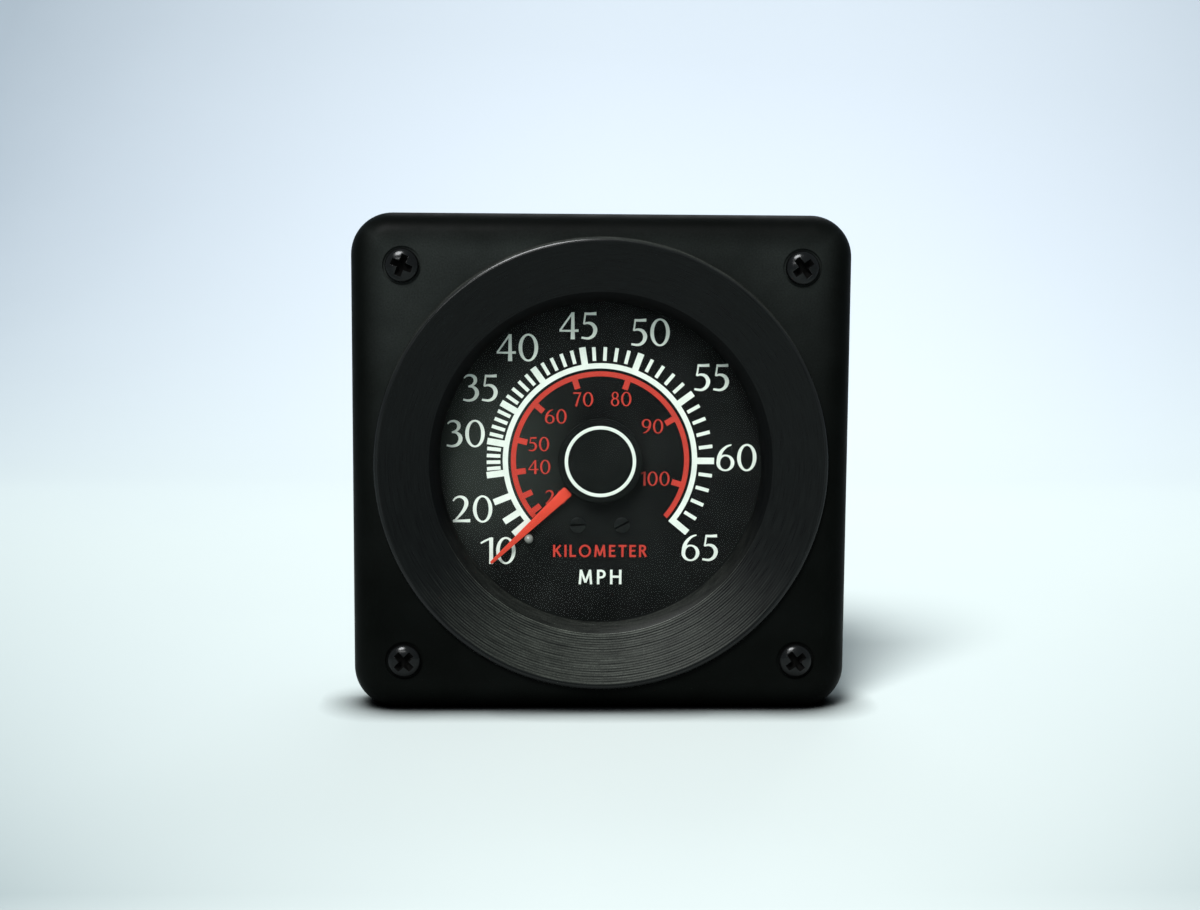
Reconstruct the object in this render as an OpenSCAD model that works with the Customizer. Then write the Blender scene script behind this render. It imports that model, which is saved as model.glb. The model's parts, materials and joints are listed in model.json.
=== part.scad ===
// Panel speedometer of the water-pressure kind, as fitted in small motor boats.
// A Bourdon tube fed by a pitot hose straightens with speed and turns the pointer through a link,
// a toothed sector and a pinion. The dial marks themselves are a surface print and are not modelled.
// Millimetres. The panel touches the plane y = 0, the dial faces -Y and +Z is up.
// Inside each module the drawing plane is the dial seen from the front: x right, y up, z towards the eye.

/* [Bezel] */
// Width and height of the square bezel
bezel_w = 101.6; // [98:0.2:108]
// Depth of the bezel from the panel to its front plate
bezel_d = 14; // [13:0.5:18]
// Radius of the bezel's corners seen from the front
bezel_corner_r = 8.5; // [7:0.5:12]
// Radius that rounds the front edge of the bezel
bezel_edge_r = 5.5; // [3:0.5:6]
// Thickness of the bezel's side walls
bezel_wall = 2.6; // [2:0.1:3.2]
// Thickness of the bezel's front plate
plate_t = 3; // [2.5:0.1:3.5]
// Outer radius of the raised ring round the dial
ring_r = 46.1; // [45:0.1:47]
// Height of the ring above the front plate
ring_h = 1.2; // [0.8:0.1:2]
// Radius of the ring's rounded lip
ring_lip_r = 1; // [0.6:0.1:1.2]
// Inner radius of the cone that falls from the lip to the window
cone_r = 35.1; // [34.2:0.1:35.4]
// Radius of the window that shows the dial
window_r = 33.1; // [32:0.1:33.6]
// Depth of the steep wall between cone and glass
window_step = 2.5; // [1.5:0.1:3]
// Wall of the collar that holds the glass
collar_wall = 2.2; // [1.6:0.1:2.6]

/* [Bezel screws] */
// Distance of each screw from the bezel's nearest edges
screw_inset = 10.7; // [10:0.1:12]
// Radius of a screw's head
screw_head_r = 3.4; // [3:0.1:3.8]
// Height of a screw's domed head
screw_head_h = 2; // [1.6:0.1:2.4]
// Radius of a screw's shank
screw_r = 1.75; // [1.5:0.05:2]
// Depth of the shallow seat cut for each head
seat_depth = 0.4; // [0.2:0.1:0.8]
// Radius of that seat
seat_r = 3.9; // [3.7:0.1:4.3]
// Radius of the screw bosses
boss_r = 4.2; // [3.6:0.1:4.6]
// Height of the case's own bosses above its flange
flange_boss_h = 5.1; // [4:0.1:6]
// Depth to which a screw bites into the case's boss
screw_bite = 4.3; // [3:0.1:4.8]

/* [Window stack] */
// Radius of the glass
glass_r = 36; // [35.6:0.1:36.4]
// Thickness of the glass
glass_t = 2; // [1.5:0.1:2.5]
// Thickness of the rubber ring in front of the glass
gasket_t = 0.8; // [0.5:0.1:1]
// Radial width of the rubber ring
gasket_w = 2.4; // [1.6:0.1:2.8]
// Height of the ring that keeps the glass off the dial
spacer_h = 3; // [2.8:0.1:4]
// Radial width of that ring
spacer_w = 2; // [1.4:0.1:2.4]
// Thickness of the dial plate
dial_t = 0.8; // [0.5:0.1:1]

/* [Case] */
// Thickness of the case's square flange
flange_t = 2.4; // [2:0.1:3]
// Outer radius of the round case behind the panel
case_r = 42.3; // [41.8:0.1:42.6]
// Depth of the case behind the panel
case_d = 32; // [30:0.5:40]
// Wall thickness of the case
case_wall = 2; // [1.6:0.1:2.6]
// Inner radius of the seat that the dial lies on
case_seat_r = 34; // [33.4:0.1:34.6]
// Radius that rounds the case's rear edge
case_edge_r = 2; // [1:0.25:2.5]

/* [Dial fittings] */
// Distance between the two dial screws
dial_screw_pitch = 9.3; // [8.4:0.1:11]
// Distance of the dial screws below the centre
dial_screw_drop = 13.6; // [12.8:0.1:14.6]
// Radius of a dial screw's head
dial_screw_head_r = 1.75; // [1.4:0.05:2]
// Radius of a dial screw's shank
dial_screw_r = 0.9; // [0.7:0.05:1]
// Direction of the stop pin, counted counter-clockwise from three o'clock
stop_angle = 228; // [227.5:0.1:230]
// Distance of the stop pin from the centre
stop_dist = 22.2; // [21:0.1:24]
// Radius of the stop pin
stop_r = 0.95; // [0.7:0.05:1]

/* [Pointer] */
// Direction of the pointer at rest
rest_angle = 223.4; // [222:0.1:224]
// Turn of the pointer from rest to full scale
pointer_sweep = 262.5; // [250:0.5:265]
// Length of the pointer from the centre to its tip
pointer_len = 31.4; // [29:0.1:32]
// Width of the pointer where it leaves the cap
pointer_w = 2.3; // [1.8:0.1:2.6]
// Width of the pointer at its tip
pointer_tip_w = 0.5; // [0.3:0.1:0.8]
// Thickness of the pointer
pointer_t = 0.4; // [0.3:0.05:0.5]
// Height of the pointer above the dial
pointer_gap = 0.9; // [0.7:0.05:1]
// Radius of the pointer's cap
cap_r = 8.85; // [8:0.05:9.2]
// Thickness of the cap
cap_t = 1.2; // [0.9:0.05:1.25]
// Outer radius of the white ring on the cap
cap_ring_r = 7.64; // [7:0.02:8]
// Width of that ring
cap_ring_w = 0.92; // [0.6:0.02:1.2]
// Depth of the groove that holds the ring
cap_ring_t = 0.15; // [0.1:0.05:0.3]

/* [Movement] */
// Thickness of the two movement plates
movement_t = 1.2; // [1:0.1:1.4]
// Gap from the panel plane back to the front movement plate
movement_gap = 1; // [0.6:0.1:1.4]
// Clear distance between the two plates
plates_gap = 6; // [5.9:0.1:6.6]
// Half width of the movement plates
movement_half_w = 12.5; // [12.3:0.1:12.7]
// Height of the plates above the centre
movement_top = 13; // [12:0.2:15]
// Reach of the plates below the centre
movement_low = 24; // [23.4:0.1:24.2]
// Radius of the pillars between the plates
pillar_r = 1.6; // [1.3:0.1:1.8]
// Radius of the arbors
arbor_r = 0.8; // [0.7:0.05:0.9]
// Radial play of an arbor in its plate
arbor_play = 0.04; // [0.02:0.01:0.08]

/* [Gear pair] */
// Module of the teeth
gear_module = 0.5; // [0.48:0.01:0.52]
// Teeth of the pinion
pinion_teeth = 10; // [10:1:12]
// Teeth that the sector would have as a full wheel
sector_teeth = 70; // [68:1:72]
// Pressure angle of the teeth
pressure_angle = 25; // [24:0.5:26]
// Play between the teeth, measured along the pitch circle
backlash = 0.1; // [0.06:0.01:0.16]
// Thickness of the sector
sector_t = 1; // [0.8:0.1:1.2]
// Face width of the pinion
pinion_h = 2.6; // [2:0.1:2.8]

/* [Linkage] */
// Distance from the sector's arbor to its link pin
tail_len = 5; // [4.8:0.05:5.2]
// Direction of the sector's tail at rest
tail_angle = -86; // [-88:0.5:-84]
// Thickness of the link
link_t = 0.6; // [0.5:0.05:0.7]
// Radius of the link's eyes
link_eye_r = 1.4; // [1.2:0.05:1.5]
// Radius of the link pins
link_pin_r = 0.6; // [0.5:0.05:0.65]
// Radial play of the link on its sector pin
link_play = 0.06; // [0.03:0.01:0.1]
// Radial play of the link on its tube pin
link_free_play = 0.3; // [0.28:0.01:0.35]

/* [Bourdon tube] */
// Radius of the tube's centre line
tube_r = 30; // [29.8:0.1:30.6]
// Thickness of the oval tube along the radius
tube_w = 3; // [2.6:0.1:3.2]
// Width of the oval tube along the depth of the case
tube_h = 8; // [7:0.2:8.4]
// Wall of the tube
tube_wall = 0.4; // [0.3:0.05:0.5]
// Direction of the tube's rooted end
tube_root_angle = 262; // [258:1:264]
// Direction of the tube's free end
tube_tip_angle = -25; // [-28:0.5:-22]
// Play of the brazed tube in its socket
braze_gap = 0.05; // [0.03:0.01:0.08]

/* [Pressure socket] */
// Half width of the socket block
socket_half_w = 12; // [11:0.2:13]
// Depth of the socket block behind the rear plate
socket_d = 14.6; // [12:0.2:16]
// Distance of the hose connection below the centre
stem_drop = 22; // [21:0.5:23]
// Radius of the threaded stem
stem_r = 5; // [4.6:0.1:5.4]
// Width across the flats of the stem nut
stem_nut_af = 14; // [13:0.5:15]
// Bore that carries the pressure
bore_r = 1; // [0.8:0.1:1.2]
// Radius of the plain land of the hose barb
barb_r = 3.175; // [3:0.025:3.4]
// Length of that land
barb_land = 5; // [4:0.25:7]
// Number of ridges on the barb
barb_ridges = 3; // [2:1:4]

/* [Mounting clamp] */
// Distance between the two studs
stud_pitch = 50.8; // [48:0.2:54]
// Radius of the studs
stud_r = 2.4; // [2.2:0.1:2.6]
// Length of the studs behind the case
stud_len = 20; // [18:0.5:26]
// Thickness of the panel that the clamp leaves room for
panel_t = 6; // [5:0.5:9]
// Width of the clamp strip
clamp_w = 16; // [12:0.5:18]
// Thickness of the clamp strip
clamp_t = 1.6; // [1.2:0.1:2]
// Gap between the case and each leg of the clamp
clamp_side_gap = 3.4; // [2.5:0.1:3.6]
// Gap between the back of the case and the clamp
clamp_back_gap = 8; // [7.6:0.2:9]
// Width across the flats of the stud nuts
stud_nut_af = 9.5; // [8.5:0.5:11]
// Thickness of the stud nuts
stud_nut_h = 3.2; // [2.4:0.1:4]

/* [Lamp] */
// Height of the lamp above the centre
lamp_rise = 24; // [23.5:0.5:25]
// Radius of the lamp holder's body
lamp_r = 6; // [5.6:0.1:6.4]
// Radius of the bulb
bulb_r = 4.6; // [4:0.1:4.8]
// Width of each terminal blade
blade_w = 4.8; // [4:0.1:6]

/* [Clearances] */
// Gap between the flange and the bezel's walls, and round the glass
fit_gap = 0.3; // [0.2:0.05:0.4]
// Radial gap round screws and studs in plain holes
hole_gap = 0.2; // [0.1:0.05:0.3]
// Radial gap between a screw and its tapped hole
thread_gap = 0.05; // [0.02:0.01:0.08]

/* [Hidden] */
$fn = 96;
// How far a cutting shape runs past what it cuts
cut = 1;

// Levels along the depth, counted from the panel plane towards the eye
dial_z = flange_t + dial_t;
glass_z = dial_z + spacer_h;
shoulder_z = glass_z + glass_t + gasket_t;
cone_z = shoulder_z + window_step;
lip_z = bezel_d + ring_h;
plate_under_z = bezel_d - plate_t;
boss_split_z = flange_t + flange_boss_h;
head_z = bezel_d - seat_depth;
blade_z = dial_z + pointer_gap;
cap_z = blade_z + pointer_t;
front_plate_z = -movement_gap;
gap_top_z = front_plate_z - movement_t;
rear_plate_z = gap_top_z - plates_gap;
movement_back_z = rear_plate_z - movement_t;
case_inner_z = case_wall - case_d;
clamp_z = -case_d - clamp_back_gap;

// Places across the dial: the dial plate has the glass's outline
dial_r = glass_r;
half_pitch = bezel_w / 2 - screw_inset;
collar_in_r = glass_r + fit_gap;
collar_r = collar_in_r + collar_wall;
flange_w = bezel_w - 2 * (bezel_wall + fit_gap);
flange_corner_r = bezel_corner_r - bezel_wall - fit_gap;
case_in_r = case_r - case_wall;
stop_at = stop_dist * [cos(stop_angle), sin(stop_angle)];

// Gear pair: the sector turns on an arbor straight below the pinion
sector_drop = 2;
pinion_drop = 1.2;
pinion_pitch_r = gear_module * pinion_teeth / 2;
sector_pitch_r = gear_module * sector_teeth / 2;
sector_at = [0, -(pinion_pitch_r + sector_pitch_r)];
sector_swing = pointer_sweep * pinion_teeth / sector_teeth;
tooth_step = 360 / sector_teeth;
addendum = 0.8 * gear_module;
dedendum = 1.1 * gear_module;
sector_teeth_cut = ceil(sector_swing / tooth_step) + 2;
sector_z = gap_top_z - sector_drop;
pinion_z = gap_top_z - pinion_drop;
sector_rim_w = 2.4;
sector_arm_w = 2.2;
sector_arm_inset = 5;
sector_hub_r = 2.5;
sector_hub_front = 1.2;
sector_hub_back = 1.4;
pivot_r = arbor_r * 0.65;
pivot_end = 0.2;
tail_at = sector_at + tail_len * [cos(tail_angle), sin(tail_angle)];

// Linkage levels, behind the sector
link_gap = 0.4;
link_z = sector_z - sector_t - link_gap;
link_w = 1.6;
tab_t = 1;
tab_w = 2.6;
tab_z = link_z - link_t - link_gap;
pin_head_t = 0.3;
pin_head_gap = 0.2;

// Bourdon tube: its middle lies a little in front of the back of the movement
tube_shift = 1.4;
tube_z = movement_back_z + tube_shift;
end_cap_angle = 6;
tab_root_angle = 2;
tab_reach_angle = 11;
tab_inset = 2;
tube_pin_dist = tube_r - tab_inset;
tube_pin_angle = tube_tip_angle - tab_reach_angle;
tube_pin_at = tube_pin_dist * [cos(tube_pin_angle), sin(tube_pin_angle)];

// Hairspring, flat spiral between the pinion and the rear plate
spring_turns = 4.5;
spring_in_r = 1.7;
spring_out_r = 7.2;
spring_t = 0.22;
spring_h = 0.8;
spring_rise = 0.8;
spring_z = rear_plate_z + spring_rise;
spring_end_angle = 150;
spring_hold = 0.1;
collet_r = spring_in_r - spring_hold;
collet_over = 0.2;
stud_post_r = 0.7;

// Socket, seen from the front it sits at six o'clock
socket_low = -33.5;
socket_front_top = -27.2;
socket_rear_top = -14;
socket_front_z = tube_z + tube_h / 2 + 0.6;
socket_back_z = movement_back_z - socket_d;
stem_shoulder_r = stem_r + 2.6;
stem_mouth_r = bore_r + 1.5;
spigot_play = 0.1;
spigot_len = 5;
seal_t = 1;
stem_out = 7;
nut_h = 4;
washer_t = 1;
barb_hex_af = 11;
barb_hex_h = 3;
barb_pitch = 3;
barb_ridge_h = 0.55;
barb_taper = 0.5;
socket_screw_at = [7, -19];
socket_screw_r = 1;
socket_screw_head_r = 1.9;
socket_screw_head_h = 0.9;
socket_screw_bite = 4;
channel_z = movement_back_z - 1.9;

// Small fasteners and fittings
dial_screw_head_h = 0.6;
dial_pillar_r = dial_screw_r + 1.3;
rivet_r = stop_r * 0.7;
rivet_tail = 0.4;
blind_end = 0.4;
plate_screw_r = pillar_r * 0.6;
plate_screw_head_r = pillar_r + 0.1;
plate_screw_head_h = 0.7;
pointer_hub_r = arbor_r + 1.6;
pointer_hub_drop = 0.4;
pointer_nose = 0.3;
dial_hole_r = arbor_r + 1.2;
cap_chamfer = 0.3;
cap_ring_play = 0.02;
stud_pad_w = 3;
stud_pad_h = 1;
stud_head_af = 2 * stud_r + 4;
stud_head_h = 2;
clamp_bend_r = 2;
lock_washer_w = 1.7;
lock_washer_t = 1;

// Lamp: its bulb stands on a base in the holder, and two blades carry its current
lamp_neck_z = case_inner_z + 1.5;
lamp_lip_w = 1.8;
lamp_flange_t = 2;
lamp_depth = 10;
bulb_base_r = bulb_r * 0.75;
bulb_base_len = bulb_r * 1.75;
bulb_len = bulb_r * 1.75;
bulb_rise = 0.3;
blade_t = 0.8;
blade_len = 8;
blade_root = 4;
blade_half_gap = 2.4;

// Moves a drawing made in the plane of the dial to its place in the upright gauge
module gauge_frame() rotate([90, 0, 0]) children();

// Copies what it holds to the four bezel corners
module at_corners() {
    for (x = [-1, 1], y = [-1, 1]) translate([x * half_pitch, y * half_pitch, 0]) children();
}

// Copies what it holds to the left and right
module left_right(offset) {
    for (x = [-1, 1]) translate([x * offset, 0, 0]) children();
}

// Round bar from one level to another
module bar(r, z0, z1) translate([0, 0, z0]) cylinder(r = r, h = z1 - z0);

// Tube from one level to another
module tube(r_out, r_in, z0, z1) {
    difference() {
        bar(r_out, z0, z1);
        bar(r_in, z0 - cut, z1 + cut);
    }
}

// Square outline with round corners
module round_square(w, r) {
    square([w - 2 * r, w], center = true);
    square([w, w - 2 * r], center = true);
    for (x = [-1, 1], y = [-1, 1]) translate([x * (w / 2 - r), y * (w / 2 - r)]) circle(r = r);
}

// Block of that outline
module round_block(w, r, z0, z1) translate([0, 0, z0]) linear_extrude(z1 - z0) round_square(w, r);

// Hexagon bar, measured across the flats
module hex_bar(af, z0, z1) translate([0, 0, z0]) cylinder(r = af / sqrt(3), h = z1 - z0, $fn = 6);

// Bar with two round ends in the plane of the dial
module eye_bar(p, q, w, r, t) {
    d = q - p;
    linear_extrude(t) {
        translate(p) circle(r = r);
        translate(q) circle(r = r);
        translate(p) rotate(atan2(d[1], d[0])) translate([0, -w / 2]) square([norm(d), w]);
    }
}

// Point of the involute of a circle of radius rb, rolled by an angle
function involute(rb, roll) =
    rb * [cos(roll) + roll * PI / 180 * sin(roll), sin(roll) - roll * PI / 180 * cos(roll)];
function turned(p, a) = [p[0] * cos(a) - p[1] * sin(a), p[0] * sin(a) + p[1] * cos(a)];
function flipped(p) = [p[0], -p[1]];

// Outline of one tooth that points along +x, from its root up to its tip and down again
function tooth(teeth) =
    let (
        pitch_r = gear_module * teeth / 2,
        base_r = pitch_r * cos(pressure_angle),
        tip_r = pitch_r + addendum,
        root_r = pitch_r - dedendum,
        pitch_half = 90 / teeth - backlash / 4 / pitch_r * 180 / PI,
        base_half = pitch_half + tan(pressure_angle) * 180 / PI - pressure_angle,
        tip_roll = sqrt(pow(tip_r / base_r, 2) - 1) * 180 / PI,
        root_roll = root_r > base_r ? sqrt(pow(root_r / base_r, 2) - 1) * 180 / PI : 0,
        steps = 6,
        flank = [for (i = [0 : steps])
            turned(involute(base_r, root_roll + (tip_roll - root_roll) * i / steps), -base_half)],
        foot = root_r < base_r ? [root_r * [cos(base_half), -sin(base_half)]] : []
    )
    concat(foot, flank, [for (i = [steps : -1 : 0]) flipped(flank[i])], [for (p = foot) flipped(p)]);

// Domed head with a cross recess, its seat at z = 0
module cross_head(r, h) {
    dome_r = (r * r + h * h) / (2 * h) * 1.15;
    slot_w = r * 0.26;
    slot_l = r * 1.12;
    difference() {
        intersection() {
            bar(r, 0, h);
            translate([0, 0, h - dome_r]) sphere(r = dome_r);
        }
        for (a = [0, 90]) rotate(a) translate([-slot_l / 2, -slot_w / 2, h * 0.55])
            cube([slot_l, slot_w, h]);
    }
}

// Low round head with a straight slot, its seat at z = 0
module slot_head(r, h, turn) {
    difference() {
        bar(r, 0, h);
        rotate(turn) translate([-r - cut, -r * 0.16, h * 0.55]) cube([2 * (r + cut), r * 0.32, h]);
    }
}

// Half section of a round corner, from its axis out to the rounded edge
module corner_section() {
    reach = bezel_corner_r - bezel_edge_r;
    square([bezel_corner_r, bezel_d - bezel_edge_r]);
    square([reach, bezel_d]);
    intersection() {
        translate([reach, bezel_d - bezel_edge_r]) circle(r = bezel_edge_r);
        square([bezel_corner_r, bezel_d]);
    }
}

// Square moulding with round corners: four turned corners, joined by bars with a rounded front edge
module bezel_skin() {
    edge = bezel_w / 2 - bezel_edge_r;
    corner = bezel_w / 2 - bezel_corner_r;
    low_z = bezel_d - bezel_edge_r;
    round_block(bezel_w, bezel_corner_r, 0, low_z);
    translate([0, 0, low_z / 2]) linear_extrude(bezel_d - low_z / 2) {
        square(2 * [corner, edge], center = true);
        square(2 * [edge, corner], center = true);
    }
    for (x = [-1, 1], y = [-1, 1]) translate([x * corner, y * corner, 0]) rotate_extrude() corner_section();
    for (a = [0 : 90 : 270]) rotate(a) translate([-corner, edge, low_z]) rotate([0, 90, 0])
        cylinder(r = bezel_edge_r, h = 2 * corner);
}

// Section of the ring, the cone, the window wall and the collar behind it
module ring_section() {
    lip_x = ring_r - ring_lip_r;
    polygon([
        [window_r, shoulder_z], [cone_r, cone_z], [lip_x - ring_lip_r * 0.35, lip_z - ring_lip_r * 0.06],
        [lip_x, lip_z - ring_lip_r], [ring_r, lip_z - ring_lip_r], [ring_r, plate_under_z],
        [collar_r, plate_under_z], [collar_r, flange_t + fit_gap], [collar_in_r, flange_t + fit_gap],
        [collar_in_r, shoulder_z]]);
    translate([lip_x, lip_z - ring_lip_r]) circle(r = ring_lip_r);
}

module front_bezel() {
    color("#17181a") gauge_frame() {
        difference() {
            union() {
                difference() {
                    bezel_skin();
                    round_block(bezel_w - 2 * bezel_wall, bezel_corner_r - bezel_wall, -cut, plate_under_z);
                    bar(ring_r - ring_lip_r, 0, bezel_d + cut);
                }
                rotate_extrude() ring_section();
                at_corners() bar(boss_r, boss_split_z, plate_under_z + plate_t / 2);
            }
            at_corners() {
                bar(screw_r + hole_gap, 0, bezel_d + cut);
                bar(seat_r, head_z, bezel_d + cut);
            }
        }
    }
}

module bezel_screws() {
    turns = [45, 38, -22, 36];
    tip_z = boss_split_z - screw_bite;
    color("#101011") gauge_frame() {
        for (i = [0 : 3]) {
            translate([(i % 2 == 0 ? -1 : 1) * half_pitch, (i < 2 ? -1 : 1) * half_pitch, 0]) {
                translate([0, 0, head_z]) rotate(turns[i]) cross_head(screw_head_r, screw_head_h);
                bar(screw_r, tip_z, head_z);
            }
        }
    }
}

module glass_gasket() {
    color("#0d0d0d") gauge_frame() tube(glass_r, glass_r - gasket_w, glass_z + glass_t, shoulder_z);
}

module glass_lens() {
    color([0.8, 0.85, 0.88, 0.3]) gauge_frame() bar(glass_r, glass_z, glass_z + glass_t);
}

module glass_spacer() {
    color("#141414") gauge_frame() tube(glass_r, glass_r - spacer_w, dial_z, glass_z);
}

module dial_plate() {
    color("#1b1c1e") gauge_frame() {
        difference() {
            bar(dial_r, flange_t, dial_z);
            bar(dial_hole_r, 0, dial_z + cut);
            translate([0, -dial_screw_drop, 0])
                left_right(dial_screw_pitch / 2) bar(dial_screw_r + thread_gap, 0, dial_z + cut);
            translate(stop_at) bar(rivet_r + thread_gap, 0, dial_z + cut);
        }
    }
}

module dial_screws() {
    turns = [4, 28];
    color("#0e0e0f") gauge_frame() {
        for (i = [0, 1]) {
            translate([(i - 0.5) * dial_screw_pitch, -dial_screw_drop, 0]) {
                translate([0, 0, dial_z]) slot_head(dial_screw_head_r, dial_screw_head_h, turns[i]);
                bar(dial_screw_r, gap_top_z, dial_z);
            }
        }
    }
}

module dial_pillars() {
    color("#b59a5a") gauge_frame() translate([0, -dial_screw_drop, 0]) left_right(dial_screw_pitch / 2)
        tube(dial_pillar_r, dial_screw_r + hole_gap, front_plate_z, flange_t);
}

module stop_pin() {
    color("#d8d8d2") gauge_frame() translate(stop_at) {
        bar(rivet_r, flange_t - rivet_tail, dial_z);
        bar(stop_r, dial_z, blade_z);
        translate([0, 0, blade_z]) sphere(r = stop_r);
    }
}

// Section of the case: front seat, round wall with a rounded rear edge, back wall
module case_section() {
    difference() {
        union() {
            translate([0, case_edge_r - case_d]) square([case_r, case_d - case_edge_r + flange_t]);
            translate([0, -case_d]) square([case_r - case_edge_r, 2 * case_edge_r]);
            translate([case_r - case_edge_r, case_edge_r - case_d]) circle(r = case_edge_r);
        }
        translate([0, case_inner_z]) square([case_in_r, -case_inner_z]);
        translate([0, -cut]) square([case_seat_r, flange_t + 2 * cut]);
    }
}

module rear_case() {
    color("#1d1e20") gauge_frame() {
        difference() {
            union() {
                rotate_extrude() case_section();
                difference() {
                    round_block(flange_w, flange_corner_r, 0, flange_t);
                    bar(case_r - case_wall / 2, -cut, flange_t + cut);
                }
                at_corners() bar(boss_r, flange_t / 2, boss_split_z);
                left_right(stud_pitch / 2)
                    bar(stud_r + stud_pad_w, case_inner_z - case_wall / 2, case_inner_z + stud_pad_h);
            }
            at_corners() bar(screw_r + thread_gap, flange_t - blind_end, boss_split_z + cut);
            left_right(stud_pitch / 2)
                bar(stud_r + hole_gap, -case_d - cut, case_inner_z + stud_pad_h + cut);
            translate([0, -stem_drop, 0]) bar(stem_r + hole_gap, -case_d - cut, case_inner_z + cut);
            translate([0, lamp_rise, 0]) bar(lamp_r + hole_gap, -case_d - cut, case_inner_z + cut);
        }
    }
}

module pointer() {
    color("#e2431e") gauge_frame() translate([0, 0, blade_z]) difference() {
        union() {
            linear_extrude(pointer_t) rotate(rest_angle) polygon([
                [0, -pointer_w / 2], [cap_r, -pointer_w / 2],
                [pointer_len - pointer_nose, -pointer_tip_w / 2], [pointer_len, 0],
                [pointer_len - pointer_nose, pointer_tip_w / 2], [cap_r, pointer_w / 2],
                [0, pointer_w / 2]]);
            bar(pointer_hub_r, -pointer_hub_drop, pointer_t);
        }
        bar(arbor_r + thread_gap, -pointer_hub_drop - cut, pointer_t + cut);
    }
}

module pointer_cap() {
    color("#121213") gauge_frame() difference() {
        union() {
            bar(cap_r, cap_z, cap_z + cap_t - cap_chamfer);
            translate([0, 0, cap_z + cap_t - cap_chamfer])
                cylinder(r1 = cap_r, r2 = cap_r - cap_chamfer, h = cap_chamfer);
        }
        bar(arbor_r + thread_gap, cap_z - cut, cap_z + cap_t / 2);
        tube(cap_ring_r, cap_ring_r - cap_ring_w, cap_z + cap_t - cap_ring_t, cap_z + cap_t + cut);
    }
}

module cap_ring() {
    z1 = cap_z + cap_t;
    color("#f2f2ee") gauge_frame()
        tube(cap_ring_r - cap_ring_play, cap_ring_r - cap_ring_w + cap_ring_play, z1 - cap_ring_t, z1);
}

// Pinion cut on its own arbor, which runs from the rear plate through the dial into the cap
module pinion_arbor() {
    step = 360 / pinion_teeth;
    profile = [for (i = [0 : pinion_teeth - 1], p = tooth(pinion_teeth)) turned(p, i * step - 90)];
    color("#c2a14a") gauge_frame() {
        translate([0, 0, pinion_z - pinion_h]) linear_extrude(pinion_h) polygon(profile);
        bar(arbor_r, rear_plate_z + pivot_end / 2, cap_z + cap_t / 2 - pivot_end / 2);
        bar(pivot_r, movement_back_z + pivot_end, rear_plate_z + pivot_end);
    }
}

// Outline shared by both movement plates
module plate_outline() {
    r = movement_half_w / 5;
    w = 2 * movement_half_w;
    h = movement_top + movement_low;
    translate([0, (movement_top - movement_low) / 2]) {
        square([w - 2 * r, h], center = true);
        square([w, h - 2 * r], center = true);
        for (x = [-1, 1], y = [-1, 1]) translate([x * (w / 2 - r), y * (h / 2 - r)]) circle(r = r);
    }
}

// Places of the three pillars, clear of the sector's sweep
pillar_inset = 2;
pillar_top_inset = 3.5;
pillar_low_rise = 7.4;
function pillar_places() = [
    [pillar_inset - movement_half_w, movement_top - pillar_top_inset],
    [movement_half_w - pillar_inset, movement_top - pillar_top_inset],
    [pillar_inset - movement_half_w, sector_at[1] + pillar_low_rise]];

module at_pillars() {
    for (p = pillar_places()) translate(p) children();
}

module front_plate() {
    color("#c9a954") gauge_frame() difference() {
        translate([0, 0, gap_top_z]) linear_extrude(movement_t) plate_outline();
        bar(arbor_r + arbor_play, -case_d, 0);
        translate(sector_at) bar(arbor_r + arbor_play, -case_d, 0);
        at_pillars() bar(plate_screw_r + thread_gap, -case_d, 0);
        translate([0, -dial_screw_drop, 0])
            left_right(dial_screw_pitch / 2) bar(dial_screw_r + thread_gap, -case_d, 0);
    }
}

module rear_plate() {
    color("#c9a954") gauge_frame() difference() {
        translate([0, 0, movement_back_z]) linear_extrude(movement_t) plate_outline();
        bar(pivot_r + arbor_play, -case_d, 0);
        translate(sector_at) bar(arbor_r + arbor_play, -case_d, 0);
        at_pillars() bar(plate_screw_r + thread_gap, -case_d, 0);
        left_right(socket_screw_at[0]) translate([0, socket_screw_at[1]])
            bar(socket_screw_r + thread_gap, -case_d, 0);
    }
}

module plate_pillars() {
    color("#b59a5a") gauge_frame() at_pillars()
        tube(pillar_r, plate_screw_r + hole_gap / 2, rear_plate_z, gap_top_z);
}

module plate_screws() {
    slot_turn = 35;
    color("#9a9a96") gauge_frame() at_pillars() {
        bar(plate_screw_r, movement_back_z, front_plate_z);
        translate([0, 0, front_plate_z]) slot_head(plate_screw_head_r, plate_screw_head_h, slot_turn);
    }
}

module socket_screws() {
    slot_turn = 60;
    color("#9a9a96") gauge_frame() left_right(socket_screw_at[0]) translate([0, socket_screw_at[1]]) {
        bar(socket_screw_r, movement_back_z - socket_screw_bite, rear_plate_z);
        translate([0, 0, rear_plate_z]) slot_head(socket_screw_head_r, socket_screw_head_h, slot_turn);
    }
}

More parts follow.
